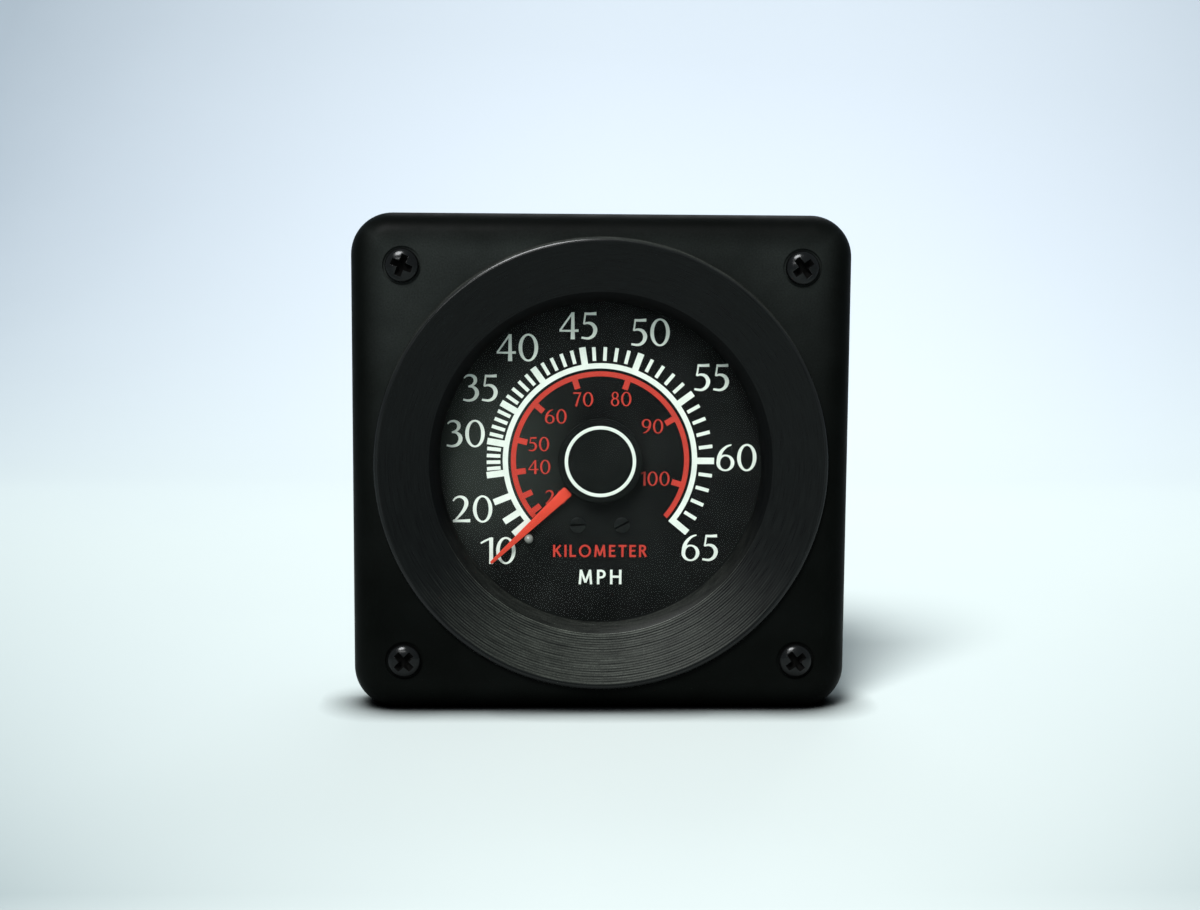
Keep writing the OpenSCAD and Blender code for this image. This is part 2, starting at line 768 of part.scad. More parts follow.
// Toothed sector with two arms, a hub and the tail that the link pulls
module sector_gear() {
    root_r = sector_pitch_r - dedendum;
    first = 90 + tooth_step / 2;
    last = first - (sector_teeth_cut - 1) * tooth_step;
    teeth = [for (i = [0 : sector_teeth_cut - 1], p = tooth(sector_teeth))
        turned(p, last + i * tooth_step)];
    ends = [last - tooth_step / 2, first + tooth_step / 2];
    steps = 24;
    rim = [for (i = [steps : -1 : 0]) let (a = ends[0] + (ends[1] - ends[0]) * i / steps)
        (root_r - sector_rim_w) * [cos(a), sin(a)]];
    color("#c2a14a") gauge_frame() difference() {
        translate([sector_at[0], sector_at[1], sector_z - sector_t]) {
            linear_extrude(sector_t) {
                polygon(concat([root_r * [cos(ends[0]), sin(ends[0])]], teeth,
                    [root_r * [cos(ends[1]), sin(ends[1])]], rim));
                for (a = [ends[0] + sector_arm_inset, ends[1] - sector_arm_inset]) rotate(a)
                    translate([0, -sector_arm_w / 2]) square([root_r - sector_rim_w / 2, sector_arm_w]);
                rotate(tail_angle) translate([0, -sector_arm_w / 2]) square([tail_len, sector_arm_w]);
                rotate(tail_angle) translate([tail_len, 0]) circle(r = link_eye_r);
            }
            bar(sector_hub_r, -sector_hub_back, sector_t + sector_hub_front);
        }
        translate(sector_at) bar(arbor_r + thread_gap, -case_d, 0);
        translate(tail_at) bar(link_pin_r + thread_gap, -case_d, 0);
    }
}

module sector_arbor() {
    color("#8d8f92") gauge_frame() translate(sector_at)
        bar(arbor_r, movement_back_z + pivot_end, front_plate_z - pivot_end);
}

module sector_pin() {
    head_z = link_z - link_t - pin_head_gap;
    color("#8d8f92") gauge_frame() translate(tail_at) {
        bar(link_pin_r, head_z, sector_z);
        bar(link_eye_r * 0.75, head_z - pin_head_t, head_z);
    }
}

module connecting_link() {
    color("#a8aaac") gauge_frame() difference() {
        translate([0, 0, link_z - link_t]) eye_bar(tail_at, tube_pin_at, link_w, link_eye_r, link_t);
        translate(tail_at) bar(link_pin_r + link_play, -case_d, 0);
        translate(tube_pin_at) bar(link_pin_r + link_free_play, -case_d, 0);
    }
}

// Flat oval outline of the tube wall, grown or shrunk by a gap
module tube_oval(gap) {
    r = tube_w / 2 + gap;
    straight = tube_h - tube_w;
    translate([tube_r, tube_z]) {
        square([2 * r, straight], center = true);
        for (s = [-1, 1]) translate([0, s * straight / 2]) circle(r = r);
    }
}

module bourdon_tube() {
    color("#b8863b") gauge_frame() rotate(tube_tip_angle)
        rotate_extrude(angle = tube_root_angle - tube_tip_angle) difference() {
            tube_oval(0);
            tube_oval(-tube_wall);
        }
}

// Solid cap on the tube's free end, with the tab that carries the link pin
module tube_end_piece() {
    cap_end = tube_tip_angle - end_cap_angle;
    color("#c2a14a") gauge_frame() difference() {
        union() {
            rotate(cap_end) rotate_extrude(angle = end_cap_angle) tube_oval(0);
            translate([0, 0, tab_z - tab_t]) eye_bar(
                tube_r * [cos(cap_end + tab_root_angle), sin(cap_end + tab_root_angle)],
                tube_pin_at, tab_w, tab_w / 2, tab_t);
        }
        translate(tube_pin_at) bar(link_pin_r + thread_gap, -case_d, 0);
    }
}

module tube_pin() {
    head_z = link_z + pin_head_gap;
    color("#8d8f92") gauge_frame() translate(tube_pin_at) {
        bar(link_pin_r, tab_z - tab_t, head_z);
        bar(tab_w / 2, head_z, head_z + pin_head_t);
    }
}

// Flat spiral, wound from the collet out to its stud
module hairspring() {
    step = 12;
    total = 360 * spring_turns;
    grow = (spring_out_r - spring_in_r) / total;
    start = spring_end_angle - total;
    inner = [for (a = [0 : step : total]) (spring_in_r + grow * a) * [cos(start + a), sin(start + a)]];
    outer = [for (a = [total : -step : 0])
        (spring_in_r + spring_t + grow * a) * [cos(start + a), sin(start + a)]];
    color("#7d8288") gauge_frame() translate([0, 0, spring_z]) linear_extrude(spring_h)
        polygon(concat(inner, outer));
}

module hairspring_collet() {
    color("#c2a14a") gauge_frame()
        tube(collet_r, arbor_r + thread_gap, spring_z - collet_over, spring_z + spring_h + collet_over);
}

module hairspring_stud() {
    reach = spring_out_r + spring_t + spring_hold + stud_post_r;
    color("#8d8f92") gauge_frame() rotate(spring_end_angle) translate([reach, 0, 0])
        bar(stud_post_r, rear_plate_z, spring_z + spring_h + collet_over);
}

// Brass block that holds the tube's root, carries the movement and leads the water in
module pressure_socket() {
    front_h = socket_front_top - socket_low;
    rear_h = socket_rear_top - socket_low;
    w = 2 * socket_half_w;
    root_at = tube_r * [cos(tube_root_angle), sin(tube_root_angle)];
    color("#b8934a") gauge_frame() difference() {
        union() {
            translate([-socket_half_w, socket_low, socket_back_z])
                cube([w, front_h, socket_front_z - socket_back_z]);
            translate([-socket_half_w, socket_low, socket_back_z])
                cube([w, rear_h, movement_back_z - socket_back_z]);
            translate([0, -stem_drop, 0]) {
                bar(stem_shoulder_r, case_inner_z + seal_t, socket_back_z + seal_t);
                bar(stem_r, -case_d - stem_out, socket_back_z);
            }
        }
        rotate(tube_tip_angle) rotate_extrude(angle = tube_root_angle - tube_tip_angle)
            tube_oval(braze_gap);
        translate([0, -stem_drop, 0]) {
            bar(bore_r, -case_d - stem_out - cut, channel_z);
            bar(stem_mouth_r, -case_d - stem_out - cut, -case_d - stem_out + spigot_len + cut);
        }
        translate([0, root_at[1], channel_z]) rotate([-90, 0, 0])
            cylinder(r = bore_r * 0.9, h = -stem_drop - root_at[1]);
        translate([root_at[0] - bore_r, root_at[1], channel_z]) rotate([0, 90, 0])
            cylinder(r = bore_r * 0.8, h = bore_r - root_at[0]);
        left_right(socket_screw_at[0]) translate([0, socket_screw_at[1]])
            bar(socket_screw_r + thread_gap, movement_back_z - socket_screw_bite - cut, 0);
    }
}

module socket_seal() {
    color("#0d0d0d") gauge_frame() translate([0, -stem_drop, 0])
        tube(stem_shoulder_r - hole_gap, stem_r + hole_gap / 2, case_inner_z, case_inner_z + seal_t);
}

module socket_washer() {
    color("#a6a8aa") gauge_frame() translate([0, -stem_drop, 0])
        tube(stem_nut_af / 2 + washer_t, stem_r + hole_gap, -case_d - washer_t, -case_d);
}

module socket_nut() {
    top = -case_d - washer_t;
    color("#b8934a") gauge_frame() translate([0, -stem_drop, 0]) difference() {
        hex_bar(stem_nut_af, top - nut_h, top);
        bar(stem_r + thread_gap, top - nut_h - cut, top + cut);
    }
}

// Barbed tail that the pitot hose pushes over
module hose_barb() {
    top = -case_d - stem_out;
    land_z = top - barb_hex_h - barb_land;
    end_z = land_z - barb_ridges * barb_pitch;
    color("#b8934a") gauge_frame() translate([0, -stem_drop, 0]) difference() {
        union() {
            bar(stem_mouth_r - spigot_play, top, top + spigot_len);
            hex_bar(barb_hex_af, top - barb_hex_h, top);
            bar(barb_r, land_z, top - barb_hex_h);
            for (i = [0 : barb_ridges - 1]) translate([0, 0, land_z - (i + 1) * barb_pitch])
                cylinder(r1 = barb_r - barb_taper, r2 = barb_r + barb_ridge_h, h = barb_pitch);
        }
        bar(bore_r, end_z - cut, top + stem_out);
    }
}

module mounting_studs() {
    head_z = case_inner_z + stud_pad_h;
    color("#8d8f92") gauge_frame() left_right(stud_pitch / 2) {
        bar(stud_r, -case_d - stud_len, head_z);
        hex_bar(stud_head_af, head_z, head_z + stud_head_h);
    }
}

// Strip bent to a U: its legs reach forward past the case and press on the back of the panel
module clamp_bracket() {
    leg_in = case_r + clamp_side_gap;
    flat_half = leg_in - clamp_bend_r;
    leg_z = clamp_z + clamp_bend_r;
    color("#a6a8aa") gauge_frame() difference() {
        union() {
            translate([0, 0, clamp_z - clamp_t / 2]) cube([2 * flat_half, clamp_w, clamp_t], center = true);
            for (s = [0, 1]) mirror([s, 0, 0]) {
                translate([leg_in, -clamp_w / 2, leg_z]) cube([clamp_t, clamp_w, -panel_t - leg_z]);
                translate([flat_half, clamp_w / 2, leg_z]) rotate([90, 0, 0]) mirror([0, 1, 0])
                    rotate_extrude(angle = 90) translate([clamp_bend_r, 0]) square([clamp_t, clamp_w]);
            }
        }
        left_right(stud_pitch / 2) bar(stud_r + hole_gap, clamp_z - clamp_t - cut, clamp_z + cut);
    }
}

module lock_washers() {
    top = clamp_z - clamp_t;
    color("#8d8f92") gauge_frame() left_right(stud_pitch / 2)
        tube(stud_r + lock_washer_w, stud_r + hole_gap / 2, top - lock_washer_t, top);
}

module stud_nuts() {
    top = clamp_z - clamp_t - lock_washer_t;
    color("#a6a8aa") gauge_frame() left_right(stud_pitch / 2) difference() {
        hex_bar(stud_nut_af, top - stud_nut_h, top);
        bar(stud_r + thread_gap, top - stud_nut_h - cut, top + cut);
    }
}

module lamp_holder() {
    end_z = -case_d - lamp_depth;
    color("#26272a") gauge_frame() translate([0, lamp_rise, 0]) difference() {
        union() {
            bar(lamp_r, end_z, lamp_neck_z);
            bar(lamp_r + lamp_lip_w, -case_d - lamp_flange_t, -case_d);
        }
        bar(bulb_base_r + thread_gap, lamp_neck_z - bulb_base_len, lamp_neck_z + cut);
        left_right(blade_half_gap) translate([0, 0, end_z + (blade_root - cut) / 2]) cube(
            [blade_t + 2 * thread_gap, blade_w + 2 * thread_gap, blade_root + cut], center = true);
    }
}

module lamp_bulb() {
    ball_z = lamp_neck_z + bulb_len - bulb_r;
    color("#d9d6c8") gauge_frame() translate([0, lamp_rise, 0]) {
        bar(bulb_base_r, lamp_neck_z - bulb_base_len, lamp_neck_z + 2 * bulb_rise);
        bar(bulb_r, lamp_neck_z + bulb_rise, ball_z);
        translate([0, 0, ball_z]) sphere(r = bulb_r);
    }
}

module lamp_terminals() {
    len = blade_len + blade_root;
    color("#c9cbcd") gauge_frame() translate([0, lamp_rise, -case_d - lamp_depth - blade_len + len / 2])
        left_right(blade_half_gap) cube([blade_t, blade_w, len], center = true);
}

front_bezel();
bezel_screws();
glass_gasket();
glass_lens();
glass_spacer();
dial_plate();
dial_screws();
dial_pillars();
stop_pin();
rear_case();
pointer();
pointer_cap();
cap_ring();
pinion_arbor();
front_plate();
rear_plate();
plate_pillars();
plate_screws();
socket_screws();
sector_gear();
sector_arbor();
sector_pin();
connecting_link();
bourdon_tube();
tube_end_piece();
tube_pin();
hairspring();
hairspring_collet();
hairspring_stud();
pressure_socket();
socket_seal();
socket_washer();
socket_nut();
hose_barb();
mounting_studs();
clamp_bracket();
lock_washers();
stud_nuts();
lamp_holder();
lamp_bulb();
lamp_terminals();
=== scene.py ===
"""Dresses a panel speedometer of the water-pressure kind and sets up its studio.

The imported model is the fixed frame: the dial faces -Y, +Z is up and the panel lies in the plane y = 0.
Sizes are in millimetres until they reach Blender. A place on the gauge is given as it is read from the
front: x to the right, up, and out towards the eye.
"""

import json
import logging
import math
import random
from collections.abc import Callable, Iterator, Sequence
from contextlib import contextmanager
from dataclasses import dataclass, field
from enum import Enum

import bmesh
import bpy
from mathutils import Matrix, Vector


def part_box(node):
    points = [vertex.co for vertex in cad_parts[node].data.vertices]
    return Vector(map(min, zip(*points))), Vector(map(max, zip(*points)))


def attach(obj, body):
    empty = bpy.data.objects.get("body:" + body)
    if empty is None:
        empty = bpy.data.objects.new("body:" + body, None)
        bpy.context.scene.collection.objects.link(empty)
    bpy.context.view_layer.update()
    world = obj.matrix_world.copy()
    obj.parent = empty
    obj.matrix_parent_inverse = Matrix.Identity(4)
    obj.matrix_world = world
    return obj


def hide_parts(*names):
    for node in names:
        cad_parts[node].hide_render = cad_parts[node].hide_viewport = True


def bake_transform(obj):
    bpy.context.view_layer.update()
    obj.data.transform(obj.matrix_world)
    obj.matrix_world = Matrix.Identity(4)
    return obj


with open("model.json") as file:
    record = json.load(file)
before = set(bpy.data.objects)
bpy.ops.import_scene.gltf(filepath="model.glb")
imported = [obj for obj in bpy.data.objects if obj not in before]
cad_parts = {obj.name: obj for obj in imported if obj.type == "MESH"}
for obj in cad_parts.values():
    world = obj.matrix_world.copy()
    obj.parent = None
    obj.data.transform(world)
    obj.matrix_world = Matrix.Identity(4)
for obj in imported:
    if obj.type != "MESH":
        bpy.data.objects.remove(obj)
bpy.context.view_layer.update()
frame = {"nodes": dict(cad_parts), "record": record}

LOG = logging.getLogger("speedometer")
MM = 0.001
NEAR = 0.01 * MM
PAST = 1.0  # how far a cutting tool reaches past what it cuts

Piece = bpy.types.Object
Socket = bpy.types.NodeSocket
Pair = tuple[float, float]
Triple = tuple[float, float, float]
Loop = list[Pair]


class Part(Enum):
    """What an edit-mode selection is made of."""

    VERTS = "VERT"
    EDGES = "EDGE"
    FACES = "FACE"


class Body(Enum):
    """The moving groups of the gauge; the pieces of this script ride on the housing and the pointer's arbor.
    """

    HOUSING = "housing"
    POINTER = "pointer_arbor"
    TUBE_TIP = "tube_tip"


# Places and small geometry


def place(x: float, up: float, out: float) -> Vector:
    """Turns a place on the gauge, read from the front in millimetres, into the frame's metres."""
    return Vector((x, -out, up)) * MM


def polar(radius: float, degrees: float) -> Pair:
    """Gives the (x, up) of a point on the dial, its angle counted counter-clockwise from three o'clock."""
    return radius * math.cos(math.radians(degrees)), radius * math.sin(math.radians(degrees))


def level(node: str, front: bool = True) -> float:
    """Reads how far out a CAD node's front, or else its back, lies from the panel."""
    low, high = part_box(node)
    return -(low.y if front else high.y) / MM


def span(node: str) -> Pair:
    """Reads the levels of a CAD node's back and front."""
    return level(node, front=False), level(node)


def half_width(node: str) -> float:
    """Reads half the width of a CAD node."""
    low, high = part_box(node)
    return (high.x - low.x) / 2 / MM


def middle_of(node: str) -> Pair:
    """Reads the (x, up) of a CAD node's middle."""
    middle = sum(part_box(node), Vector()) / 2 / MM
    return middle.x, middle.z


def off_axis(point: Vector) -> float:
    """Measures how far a point of a mesh lies from the dial's axis."""
    return math.hypot(point.x, point.z) / MM


def out_at(point: Vector) -> float:
    """Measures how far out from the panel a point of a mesh lies."""
    return -point.y / MM


def upright(a: Vector, b: Vector) -> bool:
    """Tells whether the edge between two points stands straight out from the panel."""
    return abs(a.x - b.x) < NEAR and abs(a.z - b.z) < NEAR


def rounding(centre: Pair, radius: float, degrees: range, rise: float = 0.0) -> Loop:
    """Gives the points of a rounded stretch of a profile.

    Args:
        centre: its centre as (radius, level out).
        radius: its own radius.
        degrees: the directions of its points, counted from straight away from the axis.
        rise: its reach towards the eye, where that differs from its radius.

    Returns:
        The points as (radius, level out).
    """
    return [(centre[0] + radius * math.cos(a), centre[1] + (rise or radius) * math.sin(a))
            for a in map(math.radians, degrees)]


# Modelling helpers: each one does what a hand does in the window


def deselect() -> None:
    """Leaves nothing selected in object mode."""
    if bpy.context.object and bpy.context.object.mode != "OBJECT":
        bpy.ops.object.mode_set(mode="OBJECT")
    bpy.ops.object.select_all(action="DESELECT")


def select_only(piece: Piece) -> None:
    """Selects one piece alone and makes it the active one.

    Args:
        piece: the piece.
    """
    deselect()
    piece.select_set(True)
    bpy.context.view_layer.objects.active = piece


@contextmanager
def editing(piece: Piece, start: str = "DESELECT") -> Iterator[None]:
    """Opens a piece in edit mode and closes it again.

    Args:
        piece: the piece.
        start: SELECT to begin with its whole mesh selected.
    """
    select_only(piece)
    bpy.ops.object.mode_set(mode="EDIT")
    bpy.ops.mesh.select_all(action=start)
    yield
    bpy.ops.object.mode_set(mode="OBJECT")


def pick(piece: Piece, part: Part, test: Callable[..., bool]) -> None:
    """Selects what passes a test in the piece that is open in edit mode.

    Args:
        piece: the piece in edit mode.
        part: what is selected.
        test: gets a vertex's place, an edge's two ends, or a face's middle and normal, and says yes or no.
    """
    bpy.ops.mesh.select_mode(type=part.value)
    bpy.ops.mesh.select_all(action="DESELECT")
    mesh = bmesh.from_edit_mesh(piece.data)
    if part is Part.VERTS:
        for vert in mesh.verts:
            vert.select_set(test(vert.co))
    elif part is Part.EDGES:
        for edge in mesh.edges:
            edge.select_set(test(edge.verts[0].co, edge.verts[1].co))
    else:
        for face in mesh.faces:
            face.select_set(test(face.calc_center_median(), face.normal))
    bmesh.update_edit_mesh(piece.data)


def bevel(piece: Piece, width: float, segments: int, test: Callable[[Vector, Vector], bool]) -> None:
    """Rounds the edges of a piece that pass a test.

    Args:
        piece: the piece.
        width: width of the rounding.
        segments: how many faces make it.
        test: gets an edge's two ends and says yes or no.
    """
    with editing(piece):
        pick(piece, Part.EDGES, test)
        bpy.ops.mesh.bevel(offset=width * MM, segments=segments, affect="EDGES")


def block(x: float, up: float, low: float, high: float, width: float, height: float) -> Piece:
    """Adds a block at its place and size.

    Args:
        x: place of its middle to the right.
        up: place of its middle upwards.
        low: level of its back.
        high: level of its front.
        width: its size to the right.
        height: its size upwards.

    Returns:
        The block, with its size and place in its mesh.
    """
    deselect()
    bpy.ops.mesh.primitive_cube_add(size=1, location=place(x, up, (low + high) / 2),
                                    scale=(width * MM, (high - low) * MM, height * MM))
    bpy.ops.object.transform_apply()
    return bpy.context.object


def rod(x: float, up: float, low: float, high: float, radius: float, sides: int = 48) -> Piece:
    """Adds a round or many-sided rod that stands on the dial.

    Args:
        x: place of its axis to the right.
        up: place of its axis upwards.
        low: level of its back end.
        high: level of its front end.
        radius: its radius.
        sides: number of its sides.

    Returns:
        The rod, with its place in its mesh.
    """
    deselect()
    bpy.ops.mesh.primitive_cone_add(vertices=sides, radius1=radius * MM, radius2=radius * MM,
                                    depth=(high - low) * MM, location=place(x, up, (low + high) / 2),
                                    rotation=(math.pi / 2, 0, 0))
    bpy.ops.object.transform_apply()
    return bpy.context.object


def lathe(profile: Sequence[Pair], steps: int, closed: bool = False) -> Piece:
    """Turns a profile about the dial's axis, as a potter turns a ring.

    Args:
        profile: the section's corners as (radius, level out), in order.
        steps: how many sections make the full turn.
        closed: True where the section is a ring of its own, False where it begins and ends on the axis.

    Returns:
        The turned piece, closed and with its faces outward.
    """
    deselect()
    bpy.ops.mesh.primitive_plane_add(size=MM, location=place(profile[0][0], 0, profile[0][1]))
    bpy.ops.object.transform_apply()
    piece = bpy.context.object
    with editing(piece, "SELECT"):
        bpy.ops.mesh.select_mode(type="VERT")
        bpy.ops.mesh.merge(type="CENTER")
        here = profile[0]
        for corner in [*profile[1:], *profile[:closed]]:
            step = ((corner[0] - here[0]) * MM, -(corner[1] - here[1]) * MM, 0)
            bpy.ops.mesh.extrude_vertices_move(TRANSFORM_OT_translate={"value": step})
            here = corner
        bpy.ops.mesh.select_all(action="SELECT")
        bpy.ops.mesh.spin(steps=steps, angle=math.tau, center=(0, 0, 0), axis=(0, 1, 0))
        bpy.ops.mesh.select_all(action="SELECT")
        bpy.ops.mesh.remove_doubles(threshold=0.0004 * MM)
        bpy.ops.mesh.normals_make_consistent(inside=False)
    return piece


def shift(piece: Piece, x: float, up: float, turn: float = 0.0) -> Piece:
    """Turns a piece about the dial's axis and moves it, with the result in its mesh.

    Args:
        piece: the piece.
        x: move to the right.
        up: move upwards.
        turn: turn in degrees, counter-clockwise as seen from the front.

    Returns:
        The same piece.
    """
    spin = Matrix.Rotation(-math.radians(turn), 4, "Y")
    piece.matrix_world = Matrix.Translation(place(x, up, 0)) @ spin @ piece.matrix_world
    select_only(piece)
    bpy.ops.object.transform_apply()
    return piece


def twin(piece: Piece) -> Piece:
    """Copies a piece, with a mesh of its own.

    Args:
        piece: the piece.

    Returns:
        The copy.
    """
    copy = piece.copy()
    copy.data = piece.data.copy()
    bpy.context.scene.collection.objects.link(copy)
    return copy


def join(pieces: Sequence[Piece]) -> Piece:
    """Makes several pieces one.

    Args:
        pieces: the pieces; the first one stays.

    Returns:
        The first piece, with the others in it.
    """
    select_only(pieces[0])
    for piece in pieces[1:]:
        piece.select_set(True)
    if len(pieces) > 1:
        bpy.ops.object.join()
    return pieces[0]


def modify(piece: Piece, kind: str, **settings: object) -> None:
    """Adds a modifier to a piece and applies it.

    Args:
        piece: the piece.
        kind: the modifier's type.
        settings: the modifier's settings.
    """
    select_only(piece)
    bpy.ops.object.modifier_add(type=kind)
    modifier = piece.modifiers[-1]
    for name, value in settings.items():
        setattr(modifier, name, value)
    bpy.ops.object.modifier_apply(modifier=modifier.name)


def carve(piece: Piece, tool: Piece, operation: str = "DIFFERENCE") -> None:
    """Cuts a piece with a tool, or keeps what lies in the tool, and throws the tool away."""
    modify(piece, "BOOLEAN", object=tool, operation=operation, solver="EXACT")
    bpy.data.objects.remove(tool)


def soften(piece: Piece, width: float, angle: float, segments: int = 2) -> None:
    """Rounds the edges of a piece that are sharper than an angle in degrees by a small width."""
    modify(piece, "BEVEL", width=width * MM, segments=segments, limit_method="ANGLE",
           angle_limit=math.radians(angle), harden_normals=False, use_clamp_overlap=True)


def smooth(piece: Piece, angle: float, weighted: bool = False) -> None:
    """Shades a piece smooth.

    Args:
        piece: the piece.
        angle: edges sharper than this many degrees stay sharp.
        weighted: True to keep its flats flat.
    """
    select_only(piece)
    bpy.ops.object.shade_smooth_by_angle(angle=math.radians(angle))
    if weighted:
        modify(piece, "WEIGHTED_NORMAL", keep_sharp=True, weight=80)


def cad_copy(node: str) -> Piece:
    """Copies a CAD node's mesh and merges its loose triangles into clean faces.

    Args:
        node: the CAD node's name.

    Returns:
        The copy, free of the frame.
    """
    copy = bpy.data.objects.new(node + "_copy", frame["nodes"][node].data.copy())
    bpy.context.scene.collection.objects.link(copy)
    copy.data.materials.clear()
    with editing(copy, "SELECT"):
        bpy.ops.mesh.remove_doubles(threshold=0.001 * MM)
        bpy.ops.mesh.customdata_custom_splitnormals_clear()
        bpy.ops.mesh.dissolve_limited(angle_limit=math.radians(1.0))
    return copy


# Finishes


def linear(hex_colour: str) -> tuple[float, ...]:
    """Turns an sRGB colour such as #RRGGBB into Blender's linear one, with full alpha."""
    shares = [int(hex_colour[start:start + 2], 16) / 255 for start in (1, 3, 5)]
    return (*(s / 12.92 if s <= 0.04045 else ((s + 0.055) / 1.055) ** 2.4 for s in shares), 1.0)


class Nodes:
    """A node tree in the making. Its textures use Object coordinates, and *_mm sizes are millimetres."""

    def __init__(self, tree: bpy.types.NodeTree) -> None:
        """Empties the tree."""
        self.tree = tree
        tree.nodes.clear()

    def add(self, kind: str, inputs: dict | None = None, **settings: object) -> bpy.types.Node:
        """Adds a node, sets it and links it.

        Args:
            kind: the node's type, without ShaderNode.
            inputs: values or sockets for its inputs, by name or number.
            settings: the node's own settings.

        Returns:
            The node.
        """
        node = self.tree.nodes.new("ShaderNode" + kind)
        for name, value in settings.items():
            setattr(node, name, value)
        for socket, value in (inputs or {}).items():
            if isinstance(value, Socket):
                self.tree.links.new(value, node.inputs[socket])
            else:
                node.inputs[socket].default_value = value
        return node

    def where(self) -> Socket:
        """Gives the place of the shaded point in its piece."""
        return self.add("TexCoord").outputs["Object"]

    def axes(self, vector: Socket) -> bpy.types.NodeOutputs:
        """Splits a vector into X, Y and Z."""
        return self.add("SeparateXYZ", {"Vector": vector}).outputs

    def calc(self, operation: str, *terms: float | Socket, clamp: bool = False) -> Socket:
        """Works out a number from one or two others."""
        return self.add("Math", dict(enumerate(terms)), operation=operation, use_clamp=clamp).outputs[0]

    def measure(self, operation: str, *vectors: Triple | Socket) -> Socket:
        """Works out a number from one or two vectors."""
        return self.add("VectorMath", dict(enumerate(vectors)), operation=operation).outputs["Value"]

    def product(self, share: Socket, *layers: Socket) -> Socket:
        """Multiplies several numbers.

        Args:
            share: the first number.
            layers: the others.

        Returns:
            Their product.
        """
        for layer in layers:
            share = self.calc("MULTIPLY", share, layer)
        return share

    def ramp(self, value: Socket, start: float, end: float, low: float = 0.0, high: float = 1.0,
             soft: bool = False) -> Socket:
        """Maps one range to another and clamps the result.

        Args:
            value: what is mapped.
            start: the value that gives low.
            end: the value that gives high.
            low: the result at the start.
            high: the result at the end.
            soft: True for a smooth step.

        Returns:
            The mapped value.
        """
        limits = {"Value": value, "From Min": start, "From Max": end, "To Min": low, "To Max": high}
        return self.add("MapRange", limits, interpolation_type="SMOOTHSTEP" if soft else "LINEAR").outputs[0]

    def noise(self, grain_mm: float, detail: float = 2.0, vector: Socket | None = None) -> Socket:
        """Adds noise.

        Args:
            grain_mm: size of a blotch.
            detail: how much finer detail rides on it.
            vector: coordinates in place of the Object ones.

        Returns:
            The noise's value.
        """
        at = self.where() if vector is None else vector
        return self.add("TexNoise", {"Vector": at, "Scale": 1 / (grain_mm * MM), "Detail": detail,
                                     "Roughness": 0.55}).outputs["Fac"]

    def between(self, value: Socket, low: float, high: float) -> Socket:
        """Spreads a noise value, most of which lies from 0.3 to 0.7, over a range."""
        return self.ramp(value, 0.3, 0.7, low, high)

    def cloudy(self, grain_mm: float, detail: float, low: float, high: float) -> Socket:
        """Gives noise of its own, spread over a range."""
        return self.between(self.noise(grain_mm, detail), low, high)

    def mix(self, factor: Socket, first: str | Socket, second: str | Sequence[float] | Socket,
            kind: str = "MIX") -> Socket:
        """Mixes two colours, each a hex text, a linear colour or a socket, by a factor."""
        first, second = (linear(c) if isinstance(c, str) else c for c in (first, second))
        return self.add("Mix", {0: factor, 6: first, 7: second}, data_type="RGBA", blend_type=kind).outputs[2]

    def bump(self, height: Socket, depth_mm: float) -> Socket:
        """Gives the normal of a surface whose height varies by depth_mm."""
        inputs = {"Height": height, "Distance": depth_mm * MM, "Strength": 1.0}
        return self.add("Bump", inputs).outputs["Normal"]

    def blend(self, share: Socket, first: bpy.types.Node, second: bpy.types.Node) -> bpy.types.Node:
        """Mixes two shaders."""
        return self.add("MixShader", {0: share, 1: first.outputs[0], 2: second.outputs[0]})

    def end(self, shader: bpy.types.Node, kind: str = "OutputMaterial") -> None:
        """Sends a shader to the output."""
        self.add(kind, {"Surface": shader.outputs[0]})

    def shine(self, tone: Socket, rough: Socket, normal: Socket, more: dict[str, float]) -> None:
        """Ends the tree in the principled shader."""
        inputs = {"Base Color": tone, "Roughness": rough, "Normal": normal, **more}
        self.end(self.add("BsdfPrincipled", inputs))

    def plastic(self, tone: Socket, rough: Socket, normal: Socket, specular: float) -> None:
        """Ends the tree as plastic, paint or rubber."""
        self.shine(tone, rough, normal, {"IOR": 1.5, "Specular IOR Level": specular})


@dataclass(frozen=True)
class Finish:
    """A finish of the gauge; each kind fills the node tree in its own way."""

    name: str

    def make(self) -> bpy.types.Material:
        """Builds the material.

        Returns:
            The material.
        """
        material = bpy.data.materials.new(self.name)
        material.use_nodes = True
        self.fill(Nodes(material.node_tree))
        return material

    def fill(self, nodes: Nodes) -> None:
        """Fills the node tree."""
        raise NotImplementedError


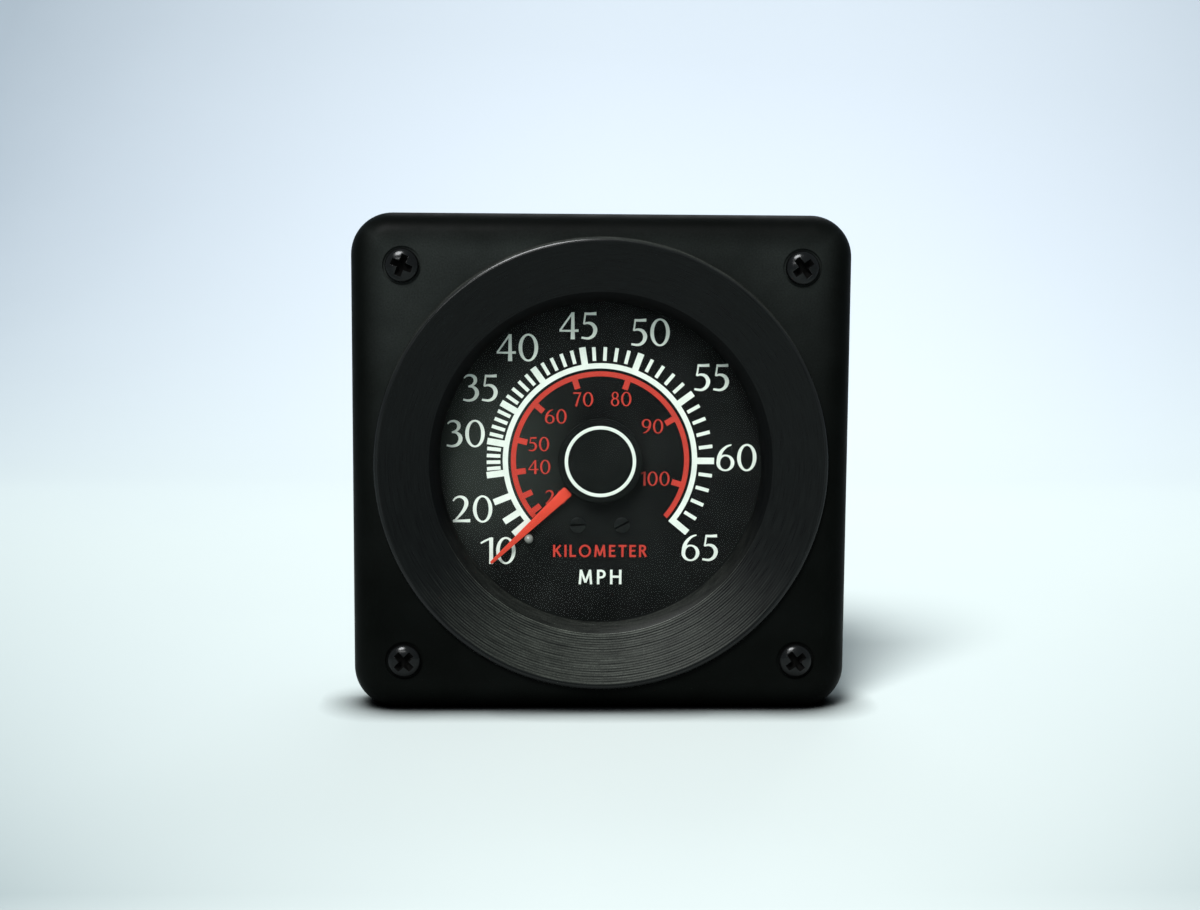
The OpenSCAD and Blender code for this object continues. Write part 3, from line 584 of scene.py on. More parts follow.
@dataclass(frozen=True)
class MouldedPlastic(Finish):
    """Compression-moulded black plastic: even, slightly warm black with a fine eroded grain.

    Dust greys its face, and a painted sheen makes that grey strongest towards one upper corner and keeps it
    off the rim.
    """

    colour: str = "#030403"
    rubbed: str = "#0A0C0B"
    roughness: Pair = (0.40, 0.52)
    grain_mm: float = 0.35
    grain_depth_mm: float = 0.014
    specular: float = 0.02
    dust: float = 0.0
    dust_colour: str = "#2E3230"
    dust_towards: Triple = (-6.0, 0.0, 22.0)
    wiped_mm: Pair = (42.5, 49.0)

    def fill(self, nodes: Nodes) -> None:
        """Gives a cloudy tone, grain in the bump, rubbed spots that shine a little, and the grey of dust with
        a painted sheen.

        Args:
            nodes: the node tree.
        """
        grain = nodes.noise(self.grain_mm, 1.5)
        tone = nodes.mix(nodes.cloudy(14.0, 3.0, 0.0, 0.55), self.colour, self.rubbed)
        tone = nodes.mix(nodes.between(grain, 0.0, 0.18), tone, self.rubbed)
        if self.dust:
            tone = nodes.mix(self.dust_share(nodes, grain), tone, self.dust_colour)
        nodes.plastic(tone, nodes.cloudy(5.0, 2.0, *self.roughness), nodes.bump(grain, self.grain_depth_mm),
                      self.specular)

    def dust_share(self, nodes: Nodes, grain: Socket) -> Socket:
        """Gives how thick the grey lies: dust whose painted sheen is strongest to the upper left, broken up
        by clouds and by the grain.

        Args:
            nodes: the node tree.
            grain: the value of the grain.

        Returns:
            The share.
        """
        where = nodes.where()
        # painted sheen: the grey grows towards the upper left
        along = nodes.measure("DOT_PRODUCT", where, self.dust_towards)
        sides = nodes.axes(nodes.add("VectorMath", {0: where}, operation="ABSOLUTE").outputs[0])
        # the painted sheen stops short of the rounded rim, which stays dark
        inside, edge = self.wiped_mm
        rim = nodes.calc("MAXIMUM", sides["X"], sides["Z"])
        off_rim = nodes.ramp(rim, inside * MM, edge * MM, 1.0, 0.0, True)
        return nodes.product(nodes.ramp(along, -0.4, 1.5, 0.0, self.dust, True),
                             nodes.cloudy(22.0, 3.0, 0.4, 1.0), nodes.between(grain, 0.65, 1.0), off_rim)


@dataclass(frozen=True)
class TurnedPlastic(Finish):
    """The same plastic, faced on a lathe: fine tool rings, a grey of dust and painted light on what looks up,
    a painted highlight by the window.
    """

    colour: str = "#050606"
    ridge: str = "#0D100F"
    roughness: Pair = (0.26, 0.36)
    ring_pitch_mm: float = 0.30
    ring_depth_mm: float = 0.010
    specular: float = 0.10
    dust: float = 1.0
    dust_colour: str = "#6E736A"
    crest_mm: Pair = (35.9, 35.3)

    def fill(self, nodes: Nodes) -> None:
        """Stretches noise round the axis for rings of uneven depth, and lays on them dust with painted light
        and a painted highlight.

        Args:
            nodes: the node tree.
        """
        where = nodes.axes(nodes.where())
        flat = nodes.add("CombineXYZ", {"X": where["X"], "Y": where["Z"]}).outputs[0]
        radius = nodes.measure("LENGTH", flat)
        along = nodes.calc("MULTIPLY", nodes.calc("ARCTAN2", where["X"], where["Z"]), 2.0 * MM)
        rings_at = nodes.add("CombineXYZ", {"X": radius, "Y": along}).outputs[0]
        rings = nodes.noise(self.ring_pitch_mm, 2.0, rings_at)
        tone = nodes.mix(nodes.between(rings, 0.0, 0.8), self.colour, self.ridge)
        tone = nodes.mix(nodes.cloudy(9.0, 3.0, 0.0, 0.35), tone, self.colour)
        # grey on up-facing faces: partly dust, partly painted light from above
        facing = nodes.axes(nodes.add("NewGeometry").outputs["Normal"])["Z"]
        up_facing_grey = nodes.product(nodes.ramp(facing, 0.2, 0.7, 0.0, self.dust),
                                nodes.cloudy(0.3, 1.0, 0.5, 1.0), nodes.between(rings, 0.35, 1.0))
        # painted highlight: the grey grows towards the crest by the window
        below, at = self.crest_mm
        crest = nodes.ramp(radius, below * MM, at * MM, 1.0, 1.5)
        tone = nodes.mix(nodes.calc("MULTIPLY", up_facing_grey, crest, clamp=True), tone, self.dust_colour)
        nodes.plastic(tone, nodes.between(rings, *self.roughness), nodes.bump(rings, self.ring_depth_mm),
                      self.specular)


@dataclass(frozen=True)
class Paint(Finish):
    """Sprayed or printed paint: even colour, a faint orange peel and a few dull patches."""

    colour: str
    shade: str
    roughness: Pair = (0.45, 0.6)
    peel_mm: float = 0.5
    peel_depth_mm: float = 0.004
    specular: float = 0.4

    def fill(self, nodes: Nodes) -> None:
        """Gives a tone with patches over the peel.

        Args:
            nodes: the node tree.
        """
        tone = nodes.mix(nodes.cloudy(3.0, 3.0, 0.0, 0.7), self.colour, self.shade)
        peel = nodes.bump(nodes.noise(self.peel_mm, 1.0), self.peel_depth_mm)
        nodes.plastic(tone, nodes.cloudy(1.6, 2.0, *self.roughness), peel, self.specular)


@dataclass(frozen=True)
class DialPaint(Finish):
    """Matt black dial lacquer: dry and slightly speckled, with a painted reflection that greys it left of the
    middle.
    """

    colour: str = "#080909"
    dust: str = "#1E211F"
    faded: str = "#363A36"
    faded_place: Pair = (-26.0, 0.0)
    faded_mm: Pair = (5.0, 27.0)
    roughness: Pair = (0.62, 0.78)
    speck_mm: float = 0.22
    speck_depth_mm: float = 0.003
    specular: float = 0.05

    def fill(self, nodes: Nodes) -> None:
        """Lays fine specks of dust and a painted reflection, a pale patch left of the middle, over a cloudy
        black.

        Args:
            nodes: the node tree.
        """
        speck = nodes.noise(self.speck_mm, 1.0)
        tone = nodes.mix(nodes.cloudy(8.0, 3.0, 0.0, 0.3), self.colour, self.dust)
        tone = nodes.mix(nodes.ramp(speck, 0.66, 0.74, 0.0, 0.7), tone, self.dust)
        # painted reflection: a pale patch left of the middle
        (x, up), (near, far) = self.faded_place, self.faded_mm
        away = nodes.measure("DISTANCE", nodes.where(), (x * MM, 0.0, up * MM))
        tone = nodes.mix(nodes.ramp(away, near * MM, far * MM, 0.6, 0.0, True), tone, self.faded)
        nodes.plastic(tone, nodes.cloudy(4.0, 2.0, *self.roughness), nodes.bump(speck, self.speck_depth_mm),
                      self.specular)


@dataclass(frozen=True)
class Metal(Finish):
    """Bare or plated metal: drawn or turned lines, a soft sheen and slightly dull spots."""

    colour: str
    tarnish: str
    roughness: Pair = (0.28, 0.42)
    line_mm: float = 0.18
    line_depth_mm: float = 0.004
    metallic: float = 1.0

    def fill(self, nodes: Nodes) -> None:
        """Draws the noise out into lines and gives the metal its tarnish.

        Args:
            nodes: the node tree.
        """
        drawn = nodes.add("Mapping", {"Vector": nodes.where(), "Scale": (1.0, 1.0, 0.12)}).outputs[0]
        lines = nodes.noise(self.line_mm, 2.0, drawn)
        tone = nodes.mix(nodes.cloudy(2.4, 4.0, 0.0, 0.8), self.colour, self.tarnish)
        nodes.shine(tone, nodes.between(lines, *self.roughness), nodes.bump(lines, self.line_depth_mm),
                    {"Metallic": self.metallic})


@dataclass(frozen=True)
class Rubber(Finish):
    """Moulded nitrile rubber: dull, deep black with a bloom."""

    colour: str = "#101112"
    bloom: str = "#232425"
    roughness: Pair = (0.7, 0.85)
    skin_depth_mm: float = 0.008
    specular: float = 0.3

    def fill(self, nodes: Nodes) -> None:
        """Gives a bloom in clouds over a fine skin.

        Args:
            nodes: the node tree.
        """
        fine = nodes.noise(0.3, 2.0)
        tone = nodes.mix(nodes.cloudy(2.0, 3.0, 0.0, 0.8), self.colour, self.bloom)
        nodes.plastic(tone, nodes.between(fine, *self.roughness), nodes.bump(fine, self.skin_depth_mm),
                      self.specular)


@dataclass(frozen=True)
class PaneGlass(Finish):
    """Thin flat glass: it shows the dial unbent, mirrors the room faintly and bears a film of dust."""

    tint: str = "#FBFDFC"
    haze: Pair = (0.02, 0.06)
    mirror: float = 0.06
    film: float = 0.003
    film_colour: str = "#C9CDCB"

    def fill(self, nodes: Nodes) -> None:
        """Lays a mirror on a clear shader, shared out by the glass's own Fresnel on its front.

        Args:
            nodes: the node tree.
        """
        smear = nodes.noise(9.0, 3.0)
        clear = nodes.add("BsdfTransparent", {"Color": linear(self.tint)})
        film = nodes.add("BsdfDiffuse", {"Color": linear(self.film_colour)})
        gloss = nodes.add("BsdfGlossy", {"Color": (self.mirror, self.mirror, self.mirror, 1.0),
                                         "Roughness": nodes.between(smear, *self.haze)})
        front = nodes.calc("SUBTRACT", 1.0, nodes.add("NewGeometry").outputs["Backfacing"])
        share = nodes.calc("MULTIPLY", nodes.add("Fresnel", {"IOR": 1.52}).outputs[0], front)
        filmed = nodes.blend(nodes.between(smear, 0.0, self.film), clear, film)
        nodes.end(nodes.blend(share, filmed, gloss))


@dataclass(frozen=True)
class SweepPaper(Finish):
    """Matt pale paper with painted light: darker further behind and to the sides, and a painted contact
    shadow where the gauge stands.
    """

    # near and far: a painted falloff, darker further behind the gauge
    near: str = "#CED8D6"
    far: str = "#BBC4CC"
    side_dimming: tuple[float, float, float, float] = (0.58, 0.61, 0.63, 1.0)
    contact: str = "#0A0B0C"
    contact_mm: float = 10.0
    gauge_y: float = 0.113
    reach: tuple[Pair, Pair] = ((0.0, 0.463), (0.08, 0.44))
    drift: Triple = (1.0, -0.11, 0.0)
    drift_start: float = 0.02

    def fill(self, nodes: Nodes) -> None:
        """Paints light and shade into the paper by its distance behind the gauge and beside the middle of the
        light, and a contact shadow.

        Args:
            nodes: the node tree.
        """
        where = nodes.where()
        depth = nodes.axes(where)["Y"]
        behind = nodes.ramp(depth, 0.15, 0.85, soft=True)
        ahead = nodes.calc("ABSOLUTE", nodes.calc("ADD", depth, self.gauge_y))
        # painted pool of light: darker to the sides, widening away from the gauge
        (start, end), (narrow, wide) = self.reach
        reach = nodes.ramp(ahead, start, end, narrow, wide)
        drift = nodes.calc("SUBTRACT", nodes.measure("DOT_PRODUCT", where, self.drift), self.drift_start)
        across = nodes.calc("DIVIDE", drift, reach)
        side_falloff = nodes.ramp(nodes.calc("MULTIPLY", across, across), 0.03, 1.5)
        tone = nodes.mix(behind, self.near, self.far)
        tone = nodes.mix(side_falloff, tone, self.side_dimming, "MULTIPLY")
        tone = nodes.mix(nodes.cloudy(90.0, 2.0, 0.0, 0.05), tone, self.far)
        # painted contact shadow, from the occlusion near the gauge
        occlusion = nodes.add("AmbientOcclusion", {"Distance": self.contact_mm * MM}, samples=12).outputs["AO"]
        tone = nodes.mix(nodes.ramp(occlusion, 0.38, 1.0), self.contact, tone)
        nodes.end(nodes.add("BsdfDiffuse", {"Color": tone}))


class Finishes:
    """Every finish of the gauge, made once and kept under its record slot or a name of its own."""

    def __init__(self) -> None:
        """Makes the materials."""
        recipes = {
            # dust on the bezel, with a painted sheen strongest towards the upper left
            "bezel_plastic": MouldedPlastic("moulded_black_plastic", dust=0.88),
            "turned_plastic": TurnedPlastic("lathe_faced_black_plastic"),
            # darker plastic that paints shade into the screws' recesses and slots
            "recess_dirt": MouldedPlastic("painted_shade_in_recesses", "#040404", "#0B0B0A", (0.7, 0.85), 0.2,
                                          0.01),
            "dial_screw_steel": Metal("blackened_dial_screws", "#2E2F2E", "#181918", (0.18, 0.28), 0.2),
            # a darker copy of the turned plastic, painting shade onto the wall down to the glass
            "window_wall": TurnedPlastic("shaded_plastic_wall", "#030404", "#080909", (0.34, 0.46), 0.3,
                                         0.005, 0.06, 0.09),
            "burnished_lip": TurnedPlastic("burnished_plastic_lip", "#080909", "#141615", (0.15, 0.26), 0.3,
                                           0.004, 0.2, 0.2),
            "case_plastic": MouldedPlastic("matt_moulded_case", "#1A1B1C", "#26282A", (0.55, 0.7), 0.6, 0.02,
                                           0.4),
            "inner_black": MouldedPlastic("matt_black_spacer", "#0E0F0F", "#161717", (0.6, 0.75), 0.4, 0.008),
            "cap_plastic": MouldedPlastic("pointer_cap_plastic", "#0D0F0E", "#161817", (0.45, 0.6), 0.3,
                                          0.006),
            "pale_plastic": Paint("pale_stop_pin", "#8E8D88", "#6C6B66", (0.10, 0.18), specular=1.0),
            "blackened_steel": Metal("black_oxide_steel", "#161717", "#0B0C0C", (0.15, 0.24), 0.25, 0.005,
                                     0.7),
            "dial_paint": DialPaint("matt_dial_lacquer"),
            "pointer_paint": Paint("orange_red_pointer_paint", "#E24029", "#CE3620", (0.5, 0.62)),
            "white_paint": Paint("white_screen_ink", "#F0F2EA", "#DADED6", (0.5, 0.65), 0.3, 0.003),
            "red_ink": Paint("red_screen_ink", "#C93525", "#B12C1F", (0.55, 0.7), 0.3, 0.003),
            "rubber": Rubber("nitrile_rubber"),
            "clear_glass": PaneGlass("clear_gauge_glass"),
            "bulb_glass": PaneGlass("bulb_glass", "#F3EFE2", (0.03, 0.08), 1.0),
            "brass": Metal("machined_brass", "#C9A257", "#9C7B3C", (0.26, 0.40)),
            "bronze": Metal("drawn_phosphor_bronze", "#B9824C", "#8E6238", (0.24, 0.38)),
            "tinned_brass": Metal("tinned_brass_blade", "#C9CAC6", "#A7A8A2", (0.34, 0.50)),
            "steel": Metal("turned_steel", "#A3A5A7", "#7F8184"),
            "spring_steel": Metal("blued_spring_strip", "#6F7B88", "#4F5964", (0.2, 0.32)),
            "zinc_steel": Metal("zinc_plated_steel", "#B9BDC0", "#8F9599", (0.26, 0.44), 0.3, 0.006),
        }
        self.made = {slot: recipe.make() for slot, recipe in recipes.items()}

    def __getitem__(self, slot: str) -> bpy.types.Material:
        """Gives the material of a slot."""
        return self.made[slot]

    def dress_cad(self) -> None:
        """Gives every CAD node that still shows the finish of its record slot."""
        slots = {entry["node"]: entry["material_slot"] for entry in frame["record"]["subparts"]}
        for node, thing in frame["nodes"].items():
            thing.data.materials.clear()
            thing.data.materials.append(self.made[slots[node]])
            LOG.info("%s keeps its CAD solid in %s", node, slots[node])


@dataclass
class Maker:
    """Makes a group of pieces and hands them over in their finishes."""

    finishes: Finishes

    def coat(self, piece: Piece, finish: str, test: Callable[[Vector, Vector], bool] | None = None) -> None:
        """Adds a finish to a piece.

        Args:
            piece: the piece.
            finish: the finish's name.
            test: gets a face's middle and normal; the faces that pass it get this finish.
        """
        piece.data.materials.append(self.finishes[finish])
        if test:
            with editing(piece):
                pick(piece, Part.FACES, test)
                piece.active_material_index = len(piece.data.materials) - 1
                bpy.ops.object.material_slot_assign()

    def hand_over(self, piece: Piece, name: str, slot: str, *replaces: str, body: Body = Body.HOUSING,
                  finish: str = "") -> None:
        """Names a finished piece, dresses it and lets it ride on its body.

        Args:
            piece: the finished piece.
            name: its name in the table of pieces.
            slot: the record's material slot.
            replaces: CAD nodes that it stands for.
            body: the group it moves with.
            finish: its finish, where it has none yet and its slot names another.
        """
        piece.name = piece.data.name = name
        if not any(piece.data.materials):
            piece.data.materials.clear()
            piece.data.materials.append(self.finishes[finish or slot])
        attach(piece, body.value)
        if replaces:
            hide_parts(*replaces)
        LOG.info("%s: %d faces on %s", name, len(piece.data.polygons), body.value)


# Front of the gauge


@dataclass
class Bezel(Maker):
    """Square moulding with a pillow edge, a raised ring and a cone that falls to the glass."""

    width: float = 2 * half_width("front_bezel")
    ring_top: float = level("front_bezel")
    ring_lip: float = 1.2
    lip_radius: float = 1.0
    corner_radius: float = 8.5
    corner_steps: int = 18
    edge_radius: float = 5.5
    edge_steps: int = 14
    wall: float = 2.6
    plate: float = 3.0
    ring_radius: float = 46.1
    ring_overlap: float = 0.6
    cone_radius: float = 35.1
    window_radius: float = 33.1
    window_step: float = 2.5
    wall_margin: float = 0.4
    collar_radius: float = 38.5
    collar_play: float = 0.3
    flange_drop: float = 5.1
    screw_inset: float = 10.7
    screw_hole: float = 1.95
    screw_seat: float = 3.9
    seat_depth: float = 0.4
    hole_sides: int = 256
    seat_sides: int = 72
    ring_steps: int = 288
    groove_start: Pair = (1.5, 0.12)
    groove_pitch: float = 0.5
    groove_depth: float = 0.045
    groove_shares: Pair = (0.45, 0.7)
    groove_cut: Pair = (0.4, 1.0)
    seed: int = 7

    def __post_init__(self) -> None:
        """Works out the levels that follow from the stack under the glass."""
        self.depth = self.ring_top - self.ring_lip
        self.shoulder = level("glass_gasket")
        self.under = self.depth - self.plate
        self.collar_end = level("rear_case") - self.flange_drop + self.collar_play

    def corners(self) -> Loop:
        """Gives the (x, up) of the four screws."""
        reach = self.width / 2 - self.screw_inset
        return [(x * reach, up * reach) for up in (-1, 1) for x in (-1, 1)]

    def plate_mesh(self) -> Piece:
        """Models the square plate with its rim, hollow back, screw seats and round hole.

        Returns:
            The plate.
        """
        front, inner, past = -self.depth * MM, self.width - 2 * self.wall, self.depth + PAST
        plate = block(0, 0, 0, self.depth, self.width, self.width)
        bevel(plate, self.corner_radius, self.corner_steps, upright)
        bevel(plate, self.edge_radius, self.edge_steps,
              lambda a, b: abs(a.y - front) < NEAR and abs(b.y - front) < NEAR)
        hollow = block(0, 0, -PAST, self.under, inner, inner)
        bevel(hollow, self.corner_radius - self.wall, self.edge_steps, upright)
        carve(plate, hollow)
        carve(plate, rod(0, 0, -PAST, past, self.ring_radius - self.ring_overlap, self.hole_sides))
        for x, up in self.corners():
            carve(plate, rod(x, up, -PAST, past, self.screw_hole))
            carve(plate, rod(x, up, self.depth - self.seat_depth, past, self.screw_seat, self.seat_sides))
        smooth(plate, 30, weighted=True)
        return plate

    def cone_profile(self) -> Loop:
        """Gives the cone's face from lip to window, with shallow tool grooves of uneven depth.

        Returns:
            The points as (radius, level out).
        """
        inward, drop = (self.lip_radius * share for share in self.groove_start)
        start = (self.ring_radius - inward, self.ring_top - drop)
        end = (self.cone_radius, self.shoulder + self.window_step)
        count = int(math.dist(start, end) / self.groove_pitch)
        dice = random.Random(self.seed)
        bottom, crest = self.groove_shares
        points = []
        for index in range(count):
            for share, cut in ((0.0, 0.0), (bottom, dice.uniform(*self.groove_cut)), (crest, 0.0)):
                t = (index + share) / count
                points.append((start[0] + (end[0] - start[0]) * t,
                               start[1] + (end[1] - start[1]) * t - cut * self.groove_depth))
        return [*points, end]

    def ring_mesh(self) -> Piece:
        """Turns the raised ring, its cone, the wall down to the glass and the collar behind it.

        Returns:
            The ring.
        """
        centre = (self.ring_radius - self.lip_radius, self.ring_top - self.lip_radius)
        collar_in = half_width("glass_lens") + self.collar_play
        back = [(self.window_radius, self.shoulder), (collar_in, self.shoulder),
                (collar_in, self.collar_end), (self.collar_radius, self.collar_end),
                (self.collar_radius, self.under), (self.ring_radius, self.under)]
        lip = rounding(centre, self.lip_radius, range(0, 116, 12))
        return lathe(lip + self.cone_profile() + back, self.ring_steps, closed=True)

    def build(self) -> None:
        """Makes the whole moulding one piece with its finishes."""
        plate = self.plate_mesh()
        self.coat(plate, "bezel_plastic")
        ring = self.ring_mesh()
        smooth(ring, 40)
        lip_from, lip_low = self.ring_radius - self.lip_radius, self.ring_top - self.lip_radius
        wall_at, wall_low = (self.window_radius + self.cone_radius) / 2, self.shoulder + self.wall_margin
        self.coat(ring, "turned_plastic")
        self.coat(ring, "burnished_lip", lambda at, normal: off_axis(at) > lip_from and out_at(at) > lip_low)
        # painted shade: the wall down to the glass takes the darker copy
        self.coat(ring, "window_wall", lambda at, normal: abs(off_axis(at) - wall_at) < self.wall_margin
                  and out_at(at) > wall_low)
        self.hand_over(join([plate, ring]), "bezel_moulding", "bezel_plastic", "front_bezel")


@dataclass
class BezelScrews(Maker):
    """Four pan-head screws with a cross recess, blackened."""

    bezel: Bezel
    head_radius: float = 3.4
    head_height: float = 2.0
    head_rim: float = 0.55
    head_chamfer: float = 0.25
    shank_radius: float = 1.75
    recess: float = 2.75
    recess_width: float = 1.55
    recess_depth: float = 1.5
    recess_taper: Triple = (0.42, 1, 0.5)
    recess_share: float = 0.86
    recess_skin: float = 0.12
    recess_floor: float = 0.1
    recess_past: float = 0.2
    edge: float = 0.07
    steps: int = 64
    turns: tuple[float, ...] = (45.0, 38.0, -22.0, 36.0)

    def __post_init__(self) -> None:
        """Works out the levels of the head and the rise of its dome."""
        self.seat = self.bezel.depth - self.bezel.seat_depth
        self.top = self.seat + self.head_height
        self.rise = self.head_height - self.head_rim

    def profile(self) -> Loop:
        """Gives the section of the shank and the domed head, from the axis out and back.

        Returns:
            The points as (radius, level out).
        """
        tip, wide, seat = level("bezel_screws", front=False), self.head_radius, self.seat
        dome = rounding((0, seat + self.head_rim), wide, range(0, 90, 9), self.rise)
        shank, chamfer = self.shank_radius, self.head_chamfer
        return [(0, tip), (shank, tip), (shank, seat), (wide - chamfer, seat), (wide, seat + chamfer), *dome,
                (0, self.top)]

    def in_recess(self, at: Vector, normal: Vector) -> bool:
        """Tells whether a face lies in the cross recess.

        Args:
            at: the face's middle.
            normal: the face's normal.

        Returns:
            True where it lies above the seat and well below the dome.
        """
        share = off_axis(at) / self.head_radius
        if share >= self.recess_share:
            return False
        dome = self.seat + self.head_rim + self.rise * math.sqrt(1 - share ** 2)
        return self.seat + self.recess_floor < out_at(at) < dome - self.recess_skin

    def build(self) -> None:
        """Makes one screw and sets four copies of it, each turned its own way."""
        floor = self.top - self.recess_depth
        master = lathe(self.profile(), self.steps)
        for turn in (0, 90):
            slot = block(0, 0, floor, self.top + self.recess_past, 2 * self.recess, self.recess_width)
            with editing(slot):
                pick(slot, Part.FACES, lambda at, normal: normal.y > 0.9)
                bpy.ops.transform.resize(value=self.recess_taper, center_override=place(0, 0, floor))
            carve(master, shift(slot, 0, 0, turn))
        soften(master, self.edge, 40)
        smooth(master, 40)
        self.coat(master, "blackened_steel")
        # painted shade in the cross recess
        self.coat(master, "recess_dirt", self.in_recess)
        for index, ((x, up), turn) in enumerate(zip(self.bezel.corners(), self.turns), 1):
            self.hand_over(shift(twin(master), x, up, turn), f"bezel_screw_{index}", "blackened_steel",
                           "bezel_screws")
        bpy.data.objects.remove(master)


# Dial printing: figures drawn with a broad pen, in units of their own height


def beyond(a: Sequence[float], b: Sequence[float]) -> tuple[float, ...]:
    """Gives the point that lies as far beyond b as a lies before it."""
    return tuple(2 * second - first for first, second in zip(a, b))


@dataclass(frozen=True)
class PenStroke:
    """A stroke of the pen: points of its middle line, each with half the pen's width."""

    points: tuple[tuple[float, ...], ...]
    steps: int = 7

    def line(self) -> list[tuple[float, ...]]:
        """Runs a smooth line through the points, each coordinate by itself.

        Returns:
            The points of the smooth line.
        """
        points = self.points
        knots = (beyond(points[1], points[0]), *points, beyond(points[-2], points[-1]))
        line = []
        for quad in zip(knots, knots[1:], knots[2:], knots[3:]):
            for t in (step / self.steps for step in range(self.steps)):
                line.append(tuple(0.5 * (2 * b + (c - a) * t + (2 * a - 5 * b + 4 * c - d) * t * t
                                         + (3 * b - a - 3 * c + d) * t ** 3) for a, b, c, d in zip(*quad)))
        return [*line, points[-1]]

    def outline(self) -> list[Loop]:
        """Gives the stroke's closed outline.

        Returns:
            One loop: up the left side of the pen and down its right.
        """
        line = self.line()
        left, right = [], []
        for (x, y, half), behind, ahead in zip(line, [line[0], *line], [*line[1:], line[-1]]):
            length = math.dist(ahead[:2], behind[:2]) or 1.0
            across = (-(ahead[1] - behind[1]) / length, (ahead[0] - behind[0]) / length)
            left.append((x + across[0] * half, y + across[1] * half))
            right.append((x - across[0] * half, y - across[1] * half))
        return [left + right[::-1]]


@dataclass(frozen=True)
class Bowl:
    """A closed bowl such as that of 0 or 6: an oval with thicker sides than top and bottom."""

    x: float
    up: float
    half_width: float
    half_height: float
    side: float
    cap: float
    sides: int = 40

    def outline(self) -> list[Loop]:
        """Gives the bowl's closed outlines.

        Returns:
            The outer and the inner oval.
        """
        turns = [math.tau * i / self.sides for i in range(self.sides)]
        wide, high = self.half_width, self.half_height
        ovals = ((wide, high), (wide - self.side, high - self.cap))
        return [[(self.x + rx * math.cos(a), self.up + ry * math.sin(a)) for a in turns] for rx, ry in ovals]


def pen(*numbers: int) -> PenStroke:
    """Reads a stroke from thousandths: x, up and half the pen's width of each point in turn."""
    return PenStroke(tuple(tuple(n / 1000 for n in numbers[i:i + 3]) for i in range(0, len(numbers), 3)))


def bar(*numbers: int) -> PenStroke:
    """Reads a straight stroke from thousandths: x and up of both its ends, and half the pen's width."""
    x0, y0, x1, y1, half = (n / 1000 for n in numbers)
    return PenStroke(((x0, y0, half), ((x0 + x1) / 2, (y0 + y1) / 2, half), (x1, y1, half)))


def bowl(*numbers: int) -> Bowl:
    """Reads a bowl from thousandths, in the order of its fields."""
    return Bowl(*(n / 1000 for n in numbers))


# A figure is its width and its strokes; stems are broad and hairlines are thin, as a broad pen gives them
Figure = tuple[float | PenStroke | Bowl, ...]
NUMERALS: dict[str, Figure] = {
    "0": (0.72, bowl(360, 500, 360, 510, 135, 68)),
    "1": (0.47, pen(385, 0, 76, 385, 500, 68, 385, 985, 74), pen(430, 975, 30, 200, 885, 36, 0, 775, 30)),
    "2": (0.66, pen(30, 800, 28, 120, 905, 35, 280, 958, 42, 450, 890, 65, 520, 720, 75, 450, 500, 64,
                    280, 270, 45, 70, 50, 32), pen(20, 48, 48, 350, 55, 48, 660, 62, 62)),
    "3": (0.60, pen(50, 860, 26, 160, 942, 35, 310, 957, 44, 445, 870, 64, 460, 720, 60, 360, 600, 42,
                    210, 545, 26),
          pen(210, 548, 26, 380, 530, 45, 505, 410, 68, 520, 250, 72, 410, 90, 56, 220, 32, 42, 20, 65, 34)),
    "4": (0.70, pen(490, 0, 78, 490, 450, 64, 490, 985, 56), bar(475, 965, 30, 330, 34),
          pen(0, 312, 34, 350, 308, 36, 700, 318, 46)),
    "5": (0.60, pen(120, 935, 46, 330, 935, 46, 550, 945, 56), pen(150, 965, 30, 125, 760, 30, 95, 560, 34),
          pen(85, 565, 28, 250, 600, 42, 420, 540, 62, 515, 360, 74, 450, 150, 62, 270, 38, 45, 10, 62, 36)),
    "6": (0.67, pen(550, 975, 24, 370, 905, 40, 205, 750, 58, 105, 550, 68, 73, 330, 70),
          bowl(335, 300, 335, 310, 135, 64)),
    "7": (0.56, pen(0, 935, 55, 280, 940, 46, 550, 940, 48), pen(530, 955, 32, 360, 550, 55, 200, 0, 70)),
    "8": (0.60, bowl(300, 755, 240, 250, 105, 62), bowl(300, 275, 295, 285, 125, 66)),
    "9": (0.67, pen(120, 25, 24, 300, 95, 40, 465, 250, 58, 565, 450, 68, 597, 670, 70),
          bowl(335, 700, 335, 310, 135, 64)),
}

# Letters are plain bold capitals, as on a stencilled scale
STEM = bar(85, 0, 85, 1000, 85)
LETTERS: dict[str, Figure] = {
    "K": (0.68, STEM, bar(120, 440, 600, 970, 75), bar(240, 600, 620, 30, 85)),
    "I": (0.17, STEM),
    "L": (0.52, STEM, bar(30, 86, 520, 86, 80)),
    "O": (0.98, bowl(490, 500, 490, 520, 165, 145)),
    "M": (0.98, bar(105, 0, 185, 1000, 80), bar(875, 0, 795, 1000, 80), bar(185, 970, 490, 120, 75),
          bar(795, 970, 490, 120, 75)),
    "E": (0.54, STEM, bar(30, 914, 520, 914, 80), bar(30, 520, 470, 520, 72), bar(30, 86, 540, 86, 80)),
    "T": (0.64, bar(320, 0, 320, 950, 85), bar(0, 920, 640, 920, 80)),
    "R": (0.64, STEM, pen(50, 925, 75, 310, 925, 75, 450, 860, 80, 490, 730, 85, 440, 600, 80, 310, 530, 72,
                          50, 530, 72), bar(290, 520, 570, 30, 85)),
    "P": (0.60, STEM, pen(50, 925, 75, 310, 925, 75, 460, 850, 80, 510, 700, 85, 460, 550, 80, 310, 475, 72,
                          50, 475, 72)),
    "H": (0.78, STEM, bar(695, 0, 695, 1000, 85), bar(30, 520, 740, 520, 78)),
}


